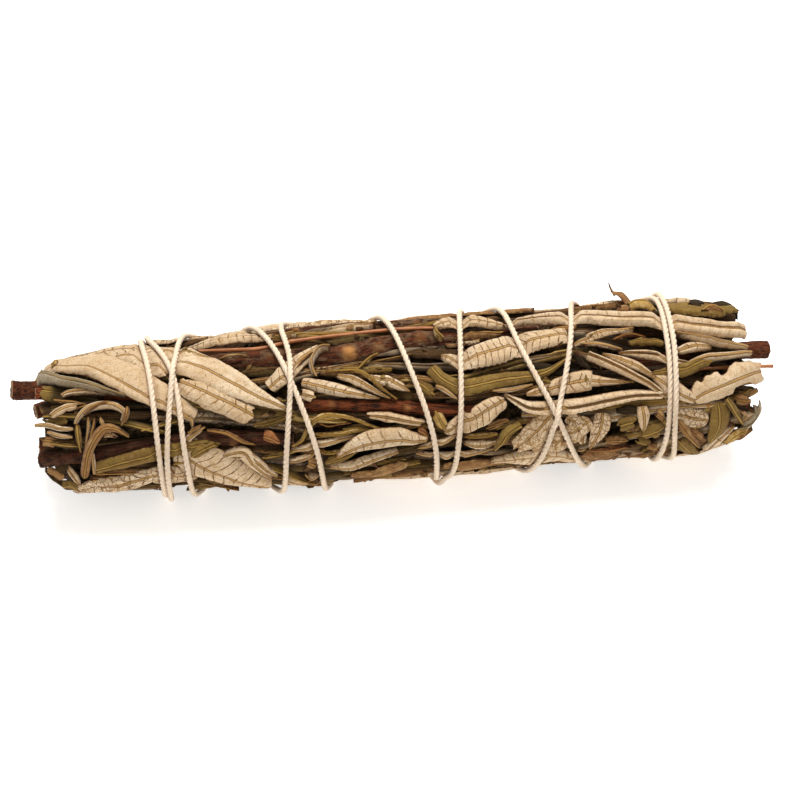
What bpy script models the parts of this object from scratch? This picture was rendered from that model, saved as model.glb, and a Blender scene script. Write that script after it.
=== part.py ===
"""A bunch of dried mountain sage for burning: leafy stems laid side by side, pressed into a
roll and wound there and back with one cotton twine.

The bunch lies along X on the surface at z = 0. A place on it is given as millimetres along X,
degrees round from its front, and millimetres of lift above its mean surface. The front looks
down at FRONT_DEGREES above the horizon, and the degrees grow over the top towards the back.
"""

import math
import random
from typing import NamedTuple

import bpy
import bmesh
import numpy as np
from mathutils import Vector, noise

MM = 0.001

# The roll itself: where its axis lies, and its mean radius at places along it.
AXIS = Vector((-0.4, -0.9, 20.9))
FRONT_DEGREES = 50.0
OVAL = 0.03
GIRTH = ((-104, 10), (-99, 16.5), (-95, 19.5), (-80, 21), (-50, 22.5), (-25, 23.5),
         (10, 23), (60, 23), (90, 22.5), (100, 20.5), (105, 17), (108, 12))

# The view that the places of the front are read in. It shows the roll from FRONT_DEGREES up,
# in pixels counted from the top left of a square, whose middle is VIEW_MIDDLE both ways.
# PIXEL_SLOPE is a pixel's width at a distance of one, and AXIS_PIXEL is where AXIS shows.
VIEW_TURN_DEGREES = -5.9
VIEW_DISTANCE = 645.0
VIEW_MIDDLE = 400
PIXEL_SLOPE = 0.00045
AXIS_PIXEL = (391, 399)
SEEN_ROUNDS = 8

# The packed heart that the leaves stand out of.
CORE_DEPTH = 3.2
CORE_ENDS = (-96.0, 99.0)
CORE_STEPS = 9
CORE_SIDES = 16
CORE_RIDGE = 0.9
END_TIP_RINGS = ((5.5, 3), (12.5, 7))
END_TIP_ROOT = 5.0
END_TIP_REACH = (2.5, 6.0)
END_TIP_HALVES = (2.2, 3.6)
END_TIP_FOLDS = (0.6, 1.6)

# Leaves.
BLADE_EDGE = 0.8
BLADE_STEPS = 4
NEARBY_SHARE = 0.04
SHORT_LEAF = 36.0
BACK_ROWS = (110, 150, 190, 228)
BACK_ENDS = (-101.0, 105.0)
BACK_LAST_START = 80.0
BACK_LENGTHS = (54, 70)
BACK_HALVES = (6.5, 9)
BACK_TOP = 0.8
KEEL_DEPTH = 4.4
KEEL_SHARE = 0.7
BACK_SEED = 14
END_SEED = 5

# Twine, stems and the gaps that keep the pieces apart.
TWINE_DIAMETER = 1.7
TWINE_LIFT = 0.6
TWINE_BACK_LIFT = 2.0
TWINE_RISE_FROM_DEGREES = 95
TWINE_RISE_OVER_DEGREES = 30
TWINE_CLEARANCE = 1.16
TWINE_SIDES = 6
TWINE_STEP_DEGREES = 20
TWINE_HUMP_REACH = 1.6
GROOVE = ((-1.5, -0.7), (-1.5, 0.7), (2.2, 2.3), (2.2, -2.3))
GROOVE_FROM_DEGREES = -40
GROOVE_TO_DEGREES = 290
KNOT_PLACE = (-70.5, 135.0, 2.2)
KNOT_RADIUS = 2.2
KNOT_SIDES = 8
KNOT_RINGS = 5
TAIL_STEPS = 4
KNOT_TAILS = ((-84.0, 122.0), (-57.0, 148.0))
STEM_SIDES = 6
STEM_RING_SPACING = 18.0
GAP = 0.3

LEAF_COLOUR = (0.62, 0.53, 0.38, 1)
BARK_COLOUR = (0.10, 0.05, 0.035, 1)
TWIG_COLOUR = (0.38, 0.15, 0.06, 1)
TWINE_COLOUR = (0.80, 0.67, 0.50, 1)


class Leaf(NamedTuple):
    """One leaf. Its spine is its midrib, from left to right.

    It is given as (mm along, degrees round), or for the leaves of the front as pixels.
    """

    name: str
    form: str
    spine: tuple
    halves: tuple
    lift: float
    ends: tuple = (-0.6, -0.4)
    blunt: tuple = (0.35, 0.25)
    free: bool = False


# Midrib height, puff of each half and turned-down edge, in mm, of each form of leaf.
FORMS = {
    "flat": (0.2, 0.3, 0.7),
    "quilted": (0.4, 0.4, 0.9),
    "rolled": (-0.5, 0.8, 1.1),
    "net": (0.2, 0.3, 0.5),
    "strap": (0.5, 0.0, 0.4),
}

# The leaves of the front. Each midrib is given by the pixels that it shows at.
FRONT_LEAVES = (
    Leaf("left_wrap", "flat", ((54, 358), (90, 370), (104, 381), (122, 394), (152, 406),
         (185, 419), (207, 424)), (8.0, 3.0), 0.9, (-0.6, -1.0), (0.7, 0.4)),
    Leaf("lower_broad", "flat", ((160, 370), (177, 378), (203, 390), (226, 400), (245, 410),
         (258, 416)), (3.0, 4.6), 0.9, (-0.4, 0.9), (0.6, 0.6)),
    Leaf("upper_broad", "flat", ((168, 353), (188, 361), (207, 369), (226, 377), (250, 391),
         (268, 402), (286, 410)), (4.8, 4.4), 1.6, (-0.2, 1.4), (0.5, 0.35)),
    Leaf("top_band", "flat", ((118, 357), (150, 357), (190, 354), (243, 352)), (3.0, 3.5), 0.7,
         (-0.8, -0.4), (0.5, 0.2)),
    Leaf("top_left_edge", "flat", ((80, 354), (105, 350), (140, 345), (170, 341), (200, 339)),
         (5.0, 3.5), 0.6, (-1, -0.6), (0.6, 0.4)),
    Leaf("top_strip", "quilted", ((185, 346), (215, 341), (245, 337), (277, 333)), (3.0, 1.9), 0.8,
         (-0.8, 0.2), (0.5, 0.3)),
    Leaf("end_arch", "rolled", ((75, 424), (85, 409), (100, 402), (114, 401), (125, 408),
         (127, 422)), (1.4, 1.5), 1.3, (0.2, -1.5), (0.4, 0.4)),
    Leaf("end_hook", "rolled", ((120, 428), (100, 430), (88, 442), (82, 460), (81, 477)),
         (2.0, 1.7), 1.1, (-1.0, 0.9), (0.5, 0.7)),
    Leaf("low_left", "net", ((66, 487), (95, 490), (125, 489), (153, 480)), (3.6, 5.5), 0.1,
         (-1.0, 0.0), (0.4, 0.4)),
    Leaf("fan", "quilted", ((160, 450), (193, 463), (222, 477), (245, 483), (272, 488)),
         (7.5, 5.0), 0.5, (-0.8, 0.2), (0.5, 0.15)),
    Leaf("low_patch", "net", ((146, 478), (170, 482), (198, 487)), (3.0, 5.0), 0.0, (-0.6, -0.6),
         (0.5, 0.5)),
    Leaf("rising_leaf", "flat", ((266, 382), (290, 366), (308, 352), (323, 344)), (3.4, 2.6), 1.5,
         (-0.8, 0.2), (0.7, 0.7)),
    Leaf("long_veined", "quilted", ((302, 381), (325, 388), (350, 393), (386, 399)), (1.3, 1.5),
         0.9, (0.2, -0.5), (0.5, 0.15)),
    Leaf("short_veined", "quilted", ((369, 375), (390, 381), (415, 391)), (1.9, 2.1), 0.6,
         (-0.6, 0.3), (0.3, 0.6)),
    Leaf("arch_edge", "strap", ((296, 447), (305, 433), (316, 421), (334, 416), (355, 421),
         (384, 430)), (0.9, 0.8), 1.3, (0.0, -0.5)),
    Leaf("spindle", "quilted", ((335, 460), (350, 449), (368, 442), (385, 439), (405, 440),
         (428, 445)), (3.6, 2.4), 1.7, (0.6, 0.4), (0.05, 0.35)),
    Leaf("spindle_under", "flat", ((328, 469), (360, 462), (395, 455), (422, 449)), (1.8, 2.0),
         0.8, (-0.2, -0.2), (0.2, 0.3)),
    Leaf("low_wrinkled", "net", ((348, 479), (375, 470), (395, 463), (417, 456)), (2.2, 3.0), 0.3,
         (-0.6, -0.4), (0.3, 0.3)),
    Leaf("top_mid", "quilted", ((434, 326), (452, 318), (475, 314), (502, 315)), (4.0, 2.0), 1.1,
         (0.6, 0.2), (0.2, 0.5)),
    Leaf("quilted_big", "quilted", ((440, 356), (465, 358), (486, 353), (521, 342), (545, 336),
         (568, 332)), (4.5, 4.4), 1.7, (1.0, 0.6), (0.1, 0.6)),
    Leaf("olive_under", "flat", ((431, 366), (445, 379), (463, 385), (495, 381), (528, 374),
         (567, 358)), (2.5, 2.4), 0.9, (0.4, -0.2), (0.6, 0.3)),
    Leaf("centre_veined", "quilted", ((446, 436), (458, 427), (483, 413), (509, 398)), (2.7, 4.0),
         1.4, (-0.2, 0.8), (0.3, 0.6)),
    Leaf("groove_roll", "rolled", ((504, 393), (518, 402), (533, 408), (560, 407), (600, 401),
         (640, 397), (672, 392)), (2.6, 2.7), 1.5, (0.6, 0.2), (0.3, 0.6)),
    Leaf("mid_right", "flat", ((526, 397), (545, 386), (568, 380), (590, 375), (612, 377),
         (637, 383)), (3.2, 3.2), 1.1, (0.3, -0.4), (0.2, 0.2)),
    Leaf("long_fold", "rolled", ((571, 347), (600, 356), (619, 362), (642, 374), (668, 389),
         (690, 403)), (1.6, 1.7), 1.9, (0.4, 0.8), (0.2, 0.7)),
    Leaf("right_broad", "flat", ((672, 392), (684, 398), (696, 401), (715, 393), (740, 381),
         (766, 370)), (4.6, 3.9), 1.5, (0.6, 0.9), (0.4, 0.85)),
    Leaf("top_long", "rolled", ((556, 314), (600, 315), (640, 317), (668, 320), (700, 323),
         (748, 330)), (3.6, 3.4), 1.7, (0.2, 1.0), (0.35, 0.95)),
    Leaf("top_olive", "flat", ((662, 304), (690, 303), (715, 304), (742, 309)), (5.5, 2.5), 1.0,
         (0.4, 0.8), (0.5, 0.7)),
    Leaf("right_strap", "rolled", ((576, 342), (610, 346), (640, 350), (683, 362), (715, 361),
         (751, 352)), (1.6, 1.6), 1.2, (0.0, 0.8), (0.3, 0.6)),
    Leaf("right_ragged", "flat", ((650, 372), (672, 370), (692, 366), (713, 358)), (2.0, 2.6), 0.9,
         (-0.3, 0.9), (0.3, 0.5)),
    Leaf("net_panel", "net", ((676, 410), (693, 419), (712, 428)), (3.0, 4.0), 0.4, (-0.2, 0.0),
         (0.8, 0.8)),
    Leaf("upright_olive", "flat", ((722, 400), (719, 420), (711, 441)), (3.6, 3.0), 0.9,
         (0.2, 0.5), (0.7, 0.2)),
    Leaf("low_right", "flat", ((704, 454), (722, 440), (736, 425)), (1.6, 2.8), 1.0, (0.4, 0.6),
         (0.5, 0.5)),
    Leaf("olive_low", "flat", ((614, 418), (636, 429), (668, 447)), (2.6, 2.6), 0.8, (0.3, 0.4),
         (0.5, 0.5)),
    Leaf("hanging_tip", "net", ((600, 412), (596, 430), (589, 448)), (2.8, 2.6), 1.0, (-0.2, 0.8),
         (0.7, 0.05)),
    Leaf("net_broad_a", "net", ((517, 440), (540, 429), (563, 418)), (3.6, 4.6), 0.4, (-0.1, 0.0),
         (0.5, 0.6)),
    Leaf("net_broad_b", "quilted", ((538, 458), (562, 446), (588, 435)), (3.0, 4.4), 0.6,
         (-0.3, 0.2), (0.4, 0.6)),
    Leaf("low_net", "net", ((488, 465), (515, 458), (547, 450)), (2.6, 3.5), 0.3, (-0.4, -0.4),
         (0.3, 0.4)),
    Leaf("low_wrinkle", "net", ((550, 463), (585, 457), (622, 452)), (2.4, 4.0), 0.0,
         (-0.5, -0.5)),
)

# One leaf tip stands free above the top of the roll.
LONE_TIP = Leaf("lone_tip", "flat", ((66, 88), (68, 87), (72, 80)), (2.0, 2.0), 3.0, (5.6, -1.0),
                (0.1, 0.8), True)


class Stem(NamedTuple):
    """One woody stem. Each place of its course ends with how many mm deep its axis lies there.

    Before that a hidden stem has mm along and degrees round, and a seen one its pixel.
    """

    name: str
    diameter: float
    course: tuple
    wobble: float = 0.06
    hidden: bool = False


STEMS = (
    Stem("stem_left", 5.6, ((12, 390, -1.2), (33, 390, 1.5), (101, 389, 10.5), (226, 386, 13))),
    Stem("stem_left_inner", 3.4, ((36, 394, -1.2), (64, 395, 4.5), (100, 395, 5.3),
                                  (150, 398, 6.5))),
    Stem("stem_low", 4.4, ((41, 460, -0.6), (64, 457, 3.2), (102, 453, 3.3), (180, 441, 3),
                           (251, 437, 2.9), (292, 439, 4))),
    Stem("stem_main", 6.8, ((205, 368, 5.4), (251, 362, 4.5), (336, 358, 4.3), (394, 346, 4.3),
                            (452, 341, 4.5), (536, 336, 6.4)), 0.1),
    Stem("stem_top", 3.8, ((225, 343, 3.4), (289, 331, 2.6), (372, 325, 2.5), (425, 319, 2.5),
                           (482, 319, 3.4)), 0.12),
    Stem("stem_middle", 3.8, ((304, 406, 3.1), (350, 405, 2.7), (391, 406, 2.7), (426, 409, 2.7),
                              (480, 411, 4))),
    Stem("stem_right", 5.2, ((600, 366, 11), (700, 356, 10.5), (740, 351, 8.6), (766, 350, 3))),
    Stem("stem_back_high", 4.6, ((-103, 150, 2.5), (-70, 148, 3), (-20, 140, 3.2), (30, 146, 3.1),
                                 (74, 152, 3.8)), hidden=True),
    Stem("stem_heart", 4.8, ((-102, 240, 6), (-60, 235, 14), (0, 240, 17), (60, 250, 14),
                             (105, 262, 6.5)), hidden=True),
)
TWIGS = (
    Stem("twig_top", 1.1, ((199, 351, 1.6), (254, 349, 1.2), (295, 341, 1.2), (350, 334, 1.2),
                           (400, 329, 1.2), (433, 328, 1.8)), 0),
    Stem("twig_right", 1.2, ((690, 369, 4.5), (740, 367, 3), (773, 366, -6)), 0),
)

# The turns of the twine over the front, each by the pixels that it shows at from the top down.
# Every other turn runs back towards the knot that the first one came from.
TWINE_TURNS = (
    ((140, 344), (150, 365), (150, 391), (153, 416), (159, 455), (164, 488)),
    ((147, 344), (164, 351), (172, 372), (177, 391), (179, 416), (185, 455), (196, 489)),
    ((251, 331), (270, 343), (286, 370), (293, 387), (299, 406), (314, 442), (328, 480)),
    ((381, 324), (395, 333), (405, 356), (414, 380), (423, 408), (432, 430), (440, 465)),
    ((499, 314), (508, 321), (518, 342), (531, 369), (544, 394), (555, 416), (571, 441),
     (588, 465)),
    ((657, 305), (663, 317), (666, 335), (671, 351), (673, 368), (672, 390), (670, 410),
     (667, 434), (659, 453)),
    ((663, 306), (670, 317), (672, 335), (676, 351), (678, 368), (677, 390), (675, 410),
     (673, 434), (672, 455)),
    ((576, 307), (573, 331), (567, 360), (562, 388), (558, 412), (554, 427), (539, 454),
     (524, 472)),
    ((462, 314), (461, 339), (460, 374), (460, 409), (460, 430), (458, 449), (444, 474)),
    ((284, 331), (289, 358), (293, 381), (294, 406), (286, 454), (280, 490)),
    ((185, 343), (176, 351), (173, 374), (171, 404), (167, 429), (167, 455), (169, 488)),
)
TURN_DEGREES = (90, 30, -30, -90)
TWINE_FROM = -66.0
TWINE_TO = -72.6
PASS_DEGREES = 60
PASSES_PER_HALF = 3
TWINE_LEAD_IN_DEGREES = 42
TWINE_LEAD_OUT_DEGREES = 48


def girth(along):
    """Mean radius of the roll at a place along it, in mm."""
    if along <= GIRTH[0][0]:
        return GIRTH[0][1]
    for (x0, r0), (x1, r1) in zip(GIRTH, GIRTH[1:]):
        if along <= x1:
            share = (along - x0) / (x1 - x0)
            return r0 + (r1 - r0) * share
    return GIRTH[-1][1]


def surface_radius(along, degrees):
    """Radius in mm of the roll's mean surface there. The roll is a little broader than high."""
    return girth(along) * (1 + OVAL * math.cos(2 * math.radians(FRONT_DEGREES + degrees)))


def on_bundle(along, degrees, lift):
    """The point in metres that is that far along and round the roll and above its surface."""
    angle = math.radians(FRONT_DEGREES + degrees)
    outward = Vector((0, -math.cos(angle), math.sin(angle)))
    radius = surface_radius(along, degrees) + lift
    return (Vector((along, 0, 0)) + AXIS + outward * radius) * MM


def seen_at(pixel, lift):
    """The place of the front that shows at a pixel, at that lift: mm along, degrees round."""
    turn, rise = math.radians(VIEW_TURN_DEGREES), math.radians(FRONT_DEGREES)
    level = math.cos(rise)
    back = Vector((math.sin(turn) * level, -math.cos(turn) * level, math.sin(rise)))
    right = Vector((math.cos(turn), math.sin(turn), 0))
    up = back.cross(right)
    aim = right * (VIEW_MIDDLE - AXIS_PIXEL[0]) + up * (AXIS_PIXEL[1] - VIEW_MIDDLE)
    eye = (back + aim * PIXEL_SLOPE) * VIEW_DISTANCE
    offset = right * (pixel[0] - VIEW_MIDDLE) + up * (VIEW_MIDDLE - pixel[1])
    ray = offset * PIXEL_SLOPE - back
    along, degrees = 0.0, 0.0
    for _ in range(SEEN_ROUNDS):
        radius = surface_radius(along, degrees) + lift
        square = ray.y ** 2 + ray.z ** 2
        half = eye.y * ray.y + eye.z * ray.z
        rest = eye.y ** 2 + eye.z ** 2 - radius ** 2
        reach = -(half + math.sqrt(max(half ** 2 - square * rest, 0))) / square
        point = eye + ray * reach
        along = point.x
        degrees = math.degrees(math.atan2(point.z, -point.y)) - FRONT_DEGREES
    return along, degrees


def seen_leaf(leaf):
    """The leaf with its midrib laid on the roll, where the view shows it."""
    return leaf._replace(spine=tuple(seen_at(pixel, leaf.lift) for pixel in leaf.spine))


def turn_places(pixels):
    """How far along a turn of the twine is at each of TURN_DEGREES."""
    places = sorted(seen_at(pixel, TWINE_LIFT)[::-1] for pixel in pixels)
    return tuple(float(along) for along in np.interp(TURN_DEGREES, *zip(*places)))


def twine_passes():
    """Where the twine is at every PASS_DEGREES that it has turned, straight across the back."""
    passes = [TWINE_FROM]
    for turn in (*map(turn_places, TWINE_TURNS), (TWINE_TO,)):
        start = passes[-1]
        for step in range(1, PASSES_PER_HALF):
            passes.append(start + (turn[0] - start) * step / PASSES_PER_HALF)
        passes.extend(turn)
    return tuple(passes)


TWINE_PASSES = twine_passes()


def smooth_through(points, share):
    """A Catmull-Rom curve through points, at a share of the way along the list."""
    place = share * (len(points) - 1)
    first = min(int(place), len(points) - 2)
    t = place - first
    before, start = points[max(first - 1, 0)], points[first]
    end, after = points[first + 1], points[min(first + 2, len(points) - 1)]
    return tuple(
        0.5 * (2 * b + (c - a) * t + (2 * a - 5 * b + 4 * c - d) * t ** 2
               + (3 * b - a - 3 * c + d) * t ** 3)
        for a, b, c, d in zip(before, start, end, after))


def ease(share):
    """0 to 1 with a soft start and end."""
    share = max(0.0, min(1.0, share))
    return share * share * (3 - 2 * share)


def mesh_object(name, points, faces, colour):
    """A closed mesh with its faces pointing outwards."""
    mesh = bpy.data.meshes.new(name)
    mesh.from_pydata(points, [], faces)
    shaped = bmesh.new()
    shaped.from_mesh(mesh)
    bmesh.ops.recalc_face_normals(shaped, faces=shaped.faces)
    bmesh.ops.triangulate(shaped, faces=shaped.faces)
    shaped.to_mesh(mesh)
    shaped.free()
    thing = bpy.data.objects.new(name, mesh)
    thing.data.materials.append(material(colour))
    bpy.context.scene.collection.objects.link(thing)
    return thing


def material(colour):
    """The material of one colour, made once."""
    name = "sage_%02x%02x%02x" % tuple(round(255 * c) for c in colour[:3])
    found = bpy.data.materials.get(name)
    if found:
        return found
    made = bpy.data.materials.new(name)
    made.use_nodes = True
    shader = made.node_tree.nodes["Principled BSDF"]
    shader.inputs["Base Color"].default_value = colour
    shader.inputs["Roughness"].default_value = 0.85
    shader.inputs["Metallic"].default_value = 0.0
    return made


def loft(name, rings, colour):
    """A solid through rings of as many points each, closed by its first and last ring."""
    count = len(rings[0])
    points = [point for ring in rings for point in ring]
    faces = [tuple(range(count)), tuple(range(len(points) - count, len(points)))]
    for step in range(len(rings) - 1):
        for side in range(count):
            other = (side + 1) % count
            faces.append((step * count + side, step * count + other,
                          (step + 1) * count + other, (step + 1) * count + side))
    return mesh_object(name, points, faces, colour)


def core():
    """The heart of the roll, ridged lengthwise like the leaves and stems pressed inside it."""
    rings = []
    for step in range(CORE_STEPS + 1):
        share = step / CORE_STEPS
        along = CORE_ENDS[0] + (CORE_ENDS[1] - CORE_ENDS[0]) * share
        ring = []
        for side in range(CORE_SIDES):
            degrees = 360 * side / CORE_SIDES
            ridge = CORE_RIDGE * (1 if side % 2 else -1)
            lump = noise.noise(Vector((along / 25, side * 1.7, 3.1)))
            ring.append(on_bundle(along, degrees, ridge + lump - CORE_DEPTH))
        rings.append(ring)
    return loft("leaf_bunch", rings, LEAF_COLOUR)


def leaf_width(leaf, share):
    """How wide the leaf is there, as a share of its widest."""
    widest = 0.45
    if share < widest:
        return leaf.blunt[0] + (1 - leaf.blunt[0]) * math.sin(math.pi / 2 * share / widest)
    rest = (1 - share) / (1 - widest)
    return leaf.blunt[1] + (1 - leaf.blunt[1]) * math.sin(math.pi / 2 * rest)


def leaf_lift(leaf, share):
    """Lift of the leaf's spine, which dips or rises to each end."""
    reach = 0.4
    dip_start = (leaf.lift - leaf.ends[0]) * (1 - ease(share / reach))
    dip_end = (leaf.lift - leaf.ends[1]) * (1 - ease((1 - share) / reach))
    return leaf.lift - dip_start - dip_end


def blade(leaf):
    """A leaf as a closed blade with a firm edge, whose keel is sunk in the heart of the roll."""
    ridge, puff, curl = FORMS[leaf.form]
    short = abs(leaf.spine[-1][0] - leaf.spine[0][0]) < SHORT_LEAF
    steps = BLADE_STEPS - 1 if short else BLADE_STEPS
    rings = []
    for step in range(steps + 1):
        share = step / steps
        along, degrees = smooth_through(leaf.spine, share)
        near = smooth_through(leaf.spine, max(share - NEARBY_SHARE, 0))
        far = smooth_through(leaf.spine, min(share + NEARBY_SHARE, 1))
        radius = girth(along)
        run = Vector((far[0] - near[0], math.radians(far[1] - near[1]) * radius)).normalized()
        across = Vector((-run.y, run.x))
        width = leaf_width(leaf, share)
        lift = leaf_lift(leaf, share)
        keel = lift - curl - BLADE_EDGE if leaf.free else -KEEL_DEPTH

        def place(side, height):
            offset = across * side * width
            return on_bundle(along + offset.x, degrees + math.degrees(offset.y / radius), height)

        up, down = leaf.halves
        rings.append((
            place(-down, lift - curl),
            place((up - down) / 2, lift + ridge + puff),
            place(up, lift - curl),
            place(up * KEEL_SHARE, keel),
            place(-down * KEEL_SHARE, keel),
        ))
    return loft(leaf.name, rings, LEAF_COLOUR)


def back_leaves():
    """The leaves that the front doesn't show: rows of overlapping leaves laid along the roll."""
    draw = random.Random(BACK_SEED)
    leaves = []
    for row, degrees in enumerate(BACK_ROWS):
        start = BACK_ENDS[0] + draw.uniform(0, 12)
        while start < BACK_LAST_START:
            length = draw.uniform(*BACK_LENGTHS)
            end = min(start + length, BACK_ENDS[1])
            turn = degrees + draw.uniform(-5, 5)
            lean = draw.uniform(-12, 12)
            spine = ((start, turn - lean), ((start + end) / 2, turn + lean / 2), (end, turn + lean))
            halves = (draw.uniform(*BACK_HALVES), draw.uniform(*BACK_HALVES))
            form = draw.choices(("flat", "quilted", "rolled", "net"), (30, 34, 18, 18))[0]
            lift = BACK_TOP - FORMS[form][0] - FORMS[form][1] - draw.uniform(0, 0.5)
            dips = (draw.uniform(-1.2, -0.4), draw.uniform(-1.0, 0))
            blunt = (draw.uniform(0.2, 0.5), draw.uniform(0.1, 0.4))
            name = f"back_{row}_{len(leaves)}"
            leaves.append(Leaf(name, form, spine, halves, lift, dips, blunt))
            start += length * draw.uniform(0.78, 0.92)
    return leaves


def end_blades():
    """The tips of the inner leaves, in rings round each end of the heart."""
    draw = random.Random(END_SEED)
    made = []
    for end, sign in ((CORE_ENDS[0], -1), (CORE_ENDS[1], 1)):
        for ring, (radius, count) in enumerate(END_TIP_RINGS):
            for number in range(count):
                turn = math.radians(360 * (number + draw.uniform(0.2, 0.8)) / count)
                outward = Vector((0, math.cos(turn), math.sin(turn)))
                sideways = Vector((0, -math.sin(turn), math.cos(turn)))
                reach = draw.uniform(*END_TIP_REACH) - ring
                half = draw.uniform(*END_TIP_HALVES)
                fold = draw.uniform(*END_TIP_FOLDS)
                rings = []
                for along, width in ((-END_TIP_ROOT, 1), (reach, 0.7)):
                    middle = AXIS + outward * radius + Vector((end + sign * along, 0, 0))
                    left = middle - sideways * half * width - outward * fold
                    right = middle + sideways * half * width - outward * fold
                    rings.append([point * MM for point in (
                        left, middle, right, right - outward * BLADE_EDGE,
                        middle - outward * BLADE_EDGE, left - outward * BLADE_EDGE)])
                made.append(loft(f"inner_{sign}_{ring}_{number}", rings, LEAF_COLOUR))
    return made


def swept(name, centres, outlines, colour):
    """A solid along points in metres. Each outline is a list of (mm outwards, mm sideways)."""
    rings = []
    for index, (centre, outline) in enumerate(zip(centres, outlines)):
        before = centres[max(index - 1, 0)]
        after = centres[min(index + 1, len(centres) - 1)]
        course = (after - before).normalized()
        outward = centre - AXIS * MM
        outward.x = 0
        outward = (outward - course * outward.dot(course)).normalized()
        sideways = course.cross(outward)
        rings.append([centre + (outward * out + sideways * side) * MM for out, side in outline])
    return loft(name, rings, colour)


def round_tube(name, centres, radii, sides, colour):
    """A round tube along points in metres."""
    turns = [2 * math.pi * side / sides for side in range(sides)]
    outlines = [[(radius * math.cos(turn), radius * math.sin(turn)) for turn in turns]
                for radius in radii]
    return swept(name, centres, outlines, colour)


def stem_places(stem, steps):
    """The places along a stem's axis, from its course.

    The course is smoothed in distance from the roll's axis, so that a stem stays straight where
    the roll narrows.
    """
    inner = []
    for first, second, depth in stem.course:
        place = (first, second) if stem.hidden else seen_at((first, second), -depth)
        inner.append((*place, girth(place[0]) - depth))
    places = []
    for step in range(steps + 1):
        along, degrees, radius = smooth_through(inner, step / steps)
        places.append((along, degrees, radius - girth(along)))
    return places


def stem_steps(stem):
    """Rings enough for the stem's length."""
    places = stem_places(stem, 1)
    return max(4, round((places[1][0] - places[0][0]) / STEM_RING_SPACING))


def stem_solid(stem, colour, extra=0.0):
    """A stem with the swellings that its leaves left, or, with extra, the room it needs."""
    steps = stem_steps(stem)
    places = stem_places(stem, steps)
    radii = []
    for along, degrees, depth in places:
        swell = 1 + stem.wobble * noise.noise(Vector((along / 9, stem.diameter, 0.5)))
        radii.append(stem.diameter / 2 * swell + extra)
    centres = [on_bundle(*place) for place in places]
    if extra:
        first = (centres[0] - centres[1]).normalized()
        last = (centres[-1] - centres[-2]).normalized()
        centres[0] += first * extra * MM
        centres[-1] += last * extra * MM
    return round_tube(stem.name, centres, radii, STEM_SIDES, colour)


def twine_along(turned):
    """How far along the twine is once it has turned that many degrees."""
    places = [(along,) for along in TWINE_PASSES]
    return smooth_through(places, turned / PASS_DEGREES / (len(places) - 1))[0]


def twine_degrees(turned):
    """How far round the roll the twine is: over the top to the front after half a turn."""
    return 270 - turned


def twine_course():
    """The degrees turned at each ring of the twine, with more rings where it crosses itself."""
    first = 180 - TWINE_LEAD_IN_DEGREES
    last = PASS_DEGREES * (len(TWINE_PASSES) - 1) - TWINE_LEAD_OUT_DEGREES
    rings = round((last - first) / TWINE_STEP_DEGREES)
    course = [first + (last - first) * ring / rings for ring in range(rings + 1)]
    near = TWINE_STEP_DEGREES / 2
    for turned in range(first + 361, last - 10):
        for earlier in range(turned - 360, first, -360):
            before = twine_along(turned - 1) - twine_along(earlier - 1)
            now = twine_along(turned) - twine_along(earlier)
            if before * now <= 0:
                course = [place for place in course if abs(place - turned) > near]
                course += [turned - near, turned, turned + near]
    return sorted(set(course))


def twine_lift(turned):
    """Height of the twine. Where it meets an earlier turn it rises over it in a low hump."""
    round_back = abs((twine_degrees(turned) + 180) % 360 - 180)
    rise = ease((round_back - TWINE_RISE_FROM_DEGREES) / TWINE_RISE_OVER_DEGREES)
    lift = TWINE_LIFT + (TWINE_BACK_LIFT - TWINE_LIFT) * rise
    clear = TWINE_DIAMETER * TWINE_CLEARANCE
    hump = 0
    earlier = turned - 360
    while earlier >= 180 - TWINE_LEAD_IN_DEGREES:
        apart = abs(twine_along(turned) - twine_along(earlier)) / (TWINE_HUMP_REACH * clear)
        if apart < 1:
            hump = max(hump, clear * 0.5 * (1 + math.cos(math.pi * apart)))
        earlier -= 360
    return lift + hump


def twine_centre(turned):
    """A point of the twine in metres, kept off the surface that the bunch lies on."""
    point = on_bundle(twine_along(turned), twine_degrees(turned), twine_lift(turned))
    point.z = max(point.z, (TWINE_DIAMETER / 2 + GAP) * MM)
    return point


def joined(target, others, operation):
    """Joins or cuts target with other objects, which are then removed.

    The MANIFOLD solver takes seconds where EXACT takes minutes on this many blades.
    """
    group = bpy.data.collections.new("group")
    for other in others:
        group.objects.link(other)
        other.hide_render = True
        other.display_type = "WIRE"
    change = target.modifiers.new(operation.lower(), "BOOLEAN")
    change.operation = operation
    change.solver = "MANIFOLD"
    change.operand_type = "COLLECTION"
    change.collection = group
    graph = bpy.context.evaluated_depsgraph_get()
    changed = bpy.data.meshes.new_from_object(target.evaluated_get(graph))
    target.modifiers.clear()
    target.data = changed
    for other in others:
        bpy.data.objects.remove(other)
    bpy.data.collections.remove(group)


def keep_one_body(thing):
    """Drops the loose scraps that a cut leaves beside the main body."""
    shaped = bmesh.new()
    shaped.from_mesh(thing.data)
    unseen = set(shaped.faces)
    bodies = []
    while unseen:
        body = [unseen.pop()]
        for face in body:
            for edge in face.edges:
                for other in edge.link_faces:
                    if other in unseen and len(edge.link_faces) == 2:
                        unseen.remove(other)
                        body.append(other)
        bodies.append(body)
    bodies.sort(key=len)
    for body in bodies[:-1]:
        bmesh.ops.delete(shaped, geom=body, context="FACES")
    bmesh.ops.triangulate(shaped, faces=shaped.faces)
    shaped.to_mesh(thing.data)
    shaped.free()


def ground():
    """A block whose top is the surface that the bunch lies on."""
    long, wide, deep = 0.2, 0.1, 0.02
    rings = [[Vector((along, -wide, -deep)), Vector((along, wide, -deep)),
              Vector((along, wide, 0)), Vector((along, -wide, 0))] for along in (-long, long)]
    return loft("ground", rings, LEAF_COLOUR)


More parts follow.
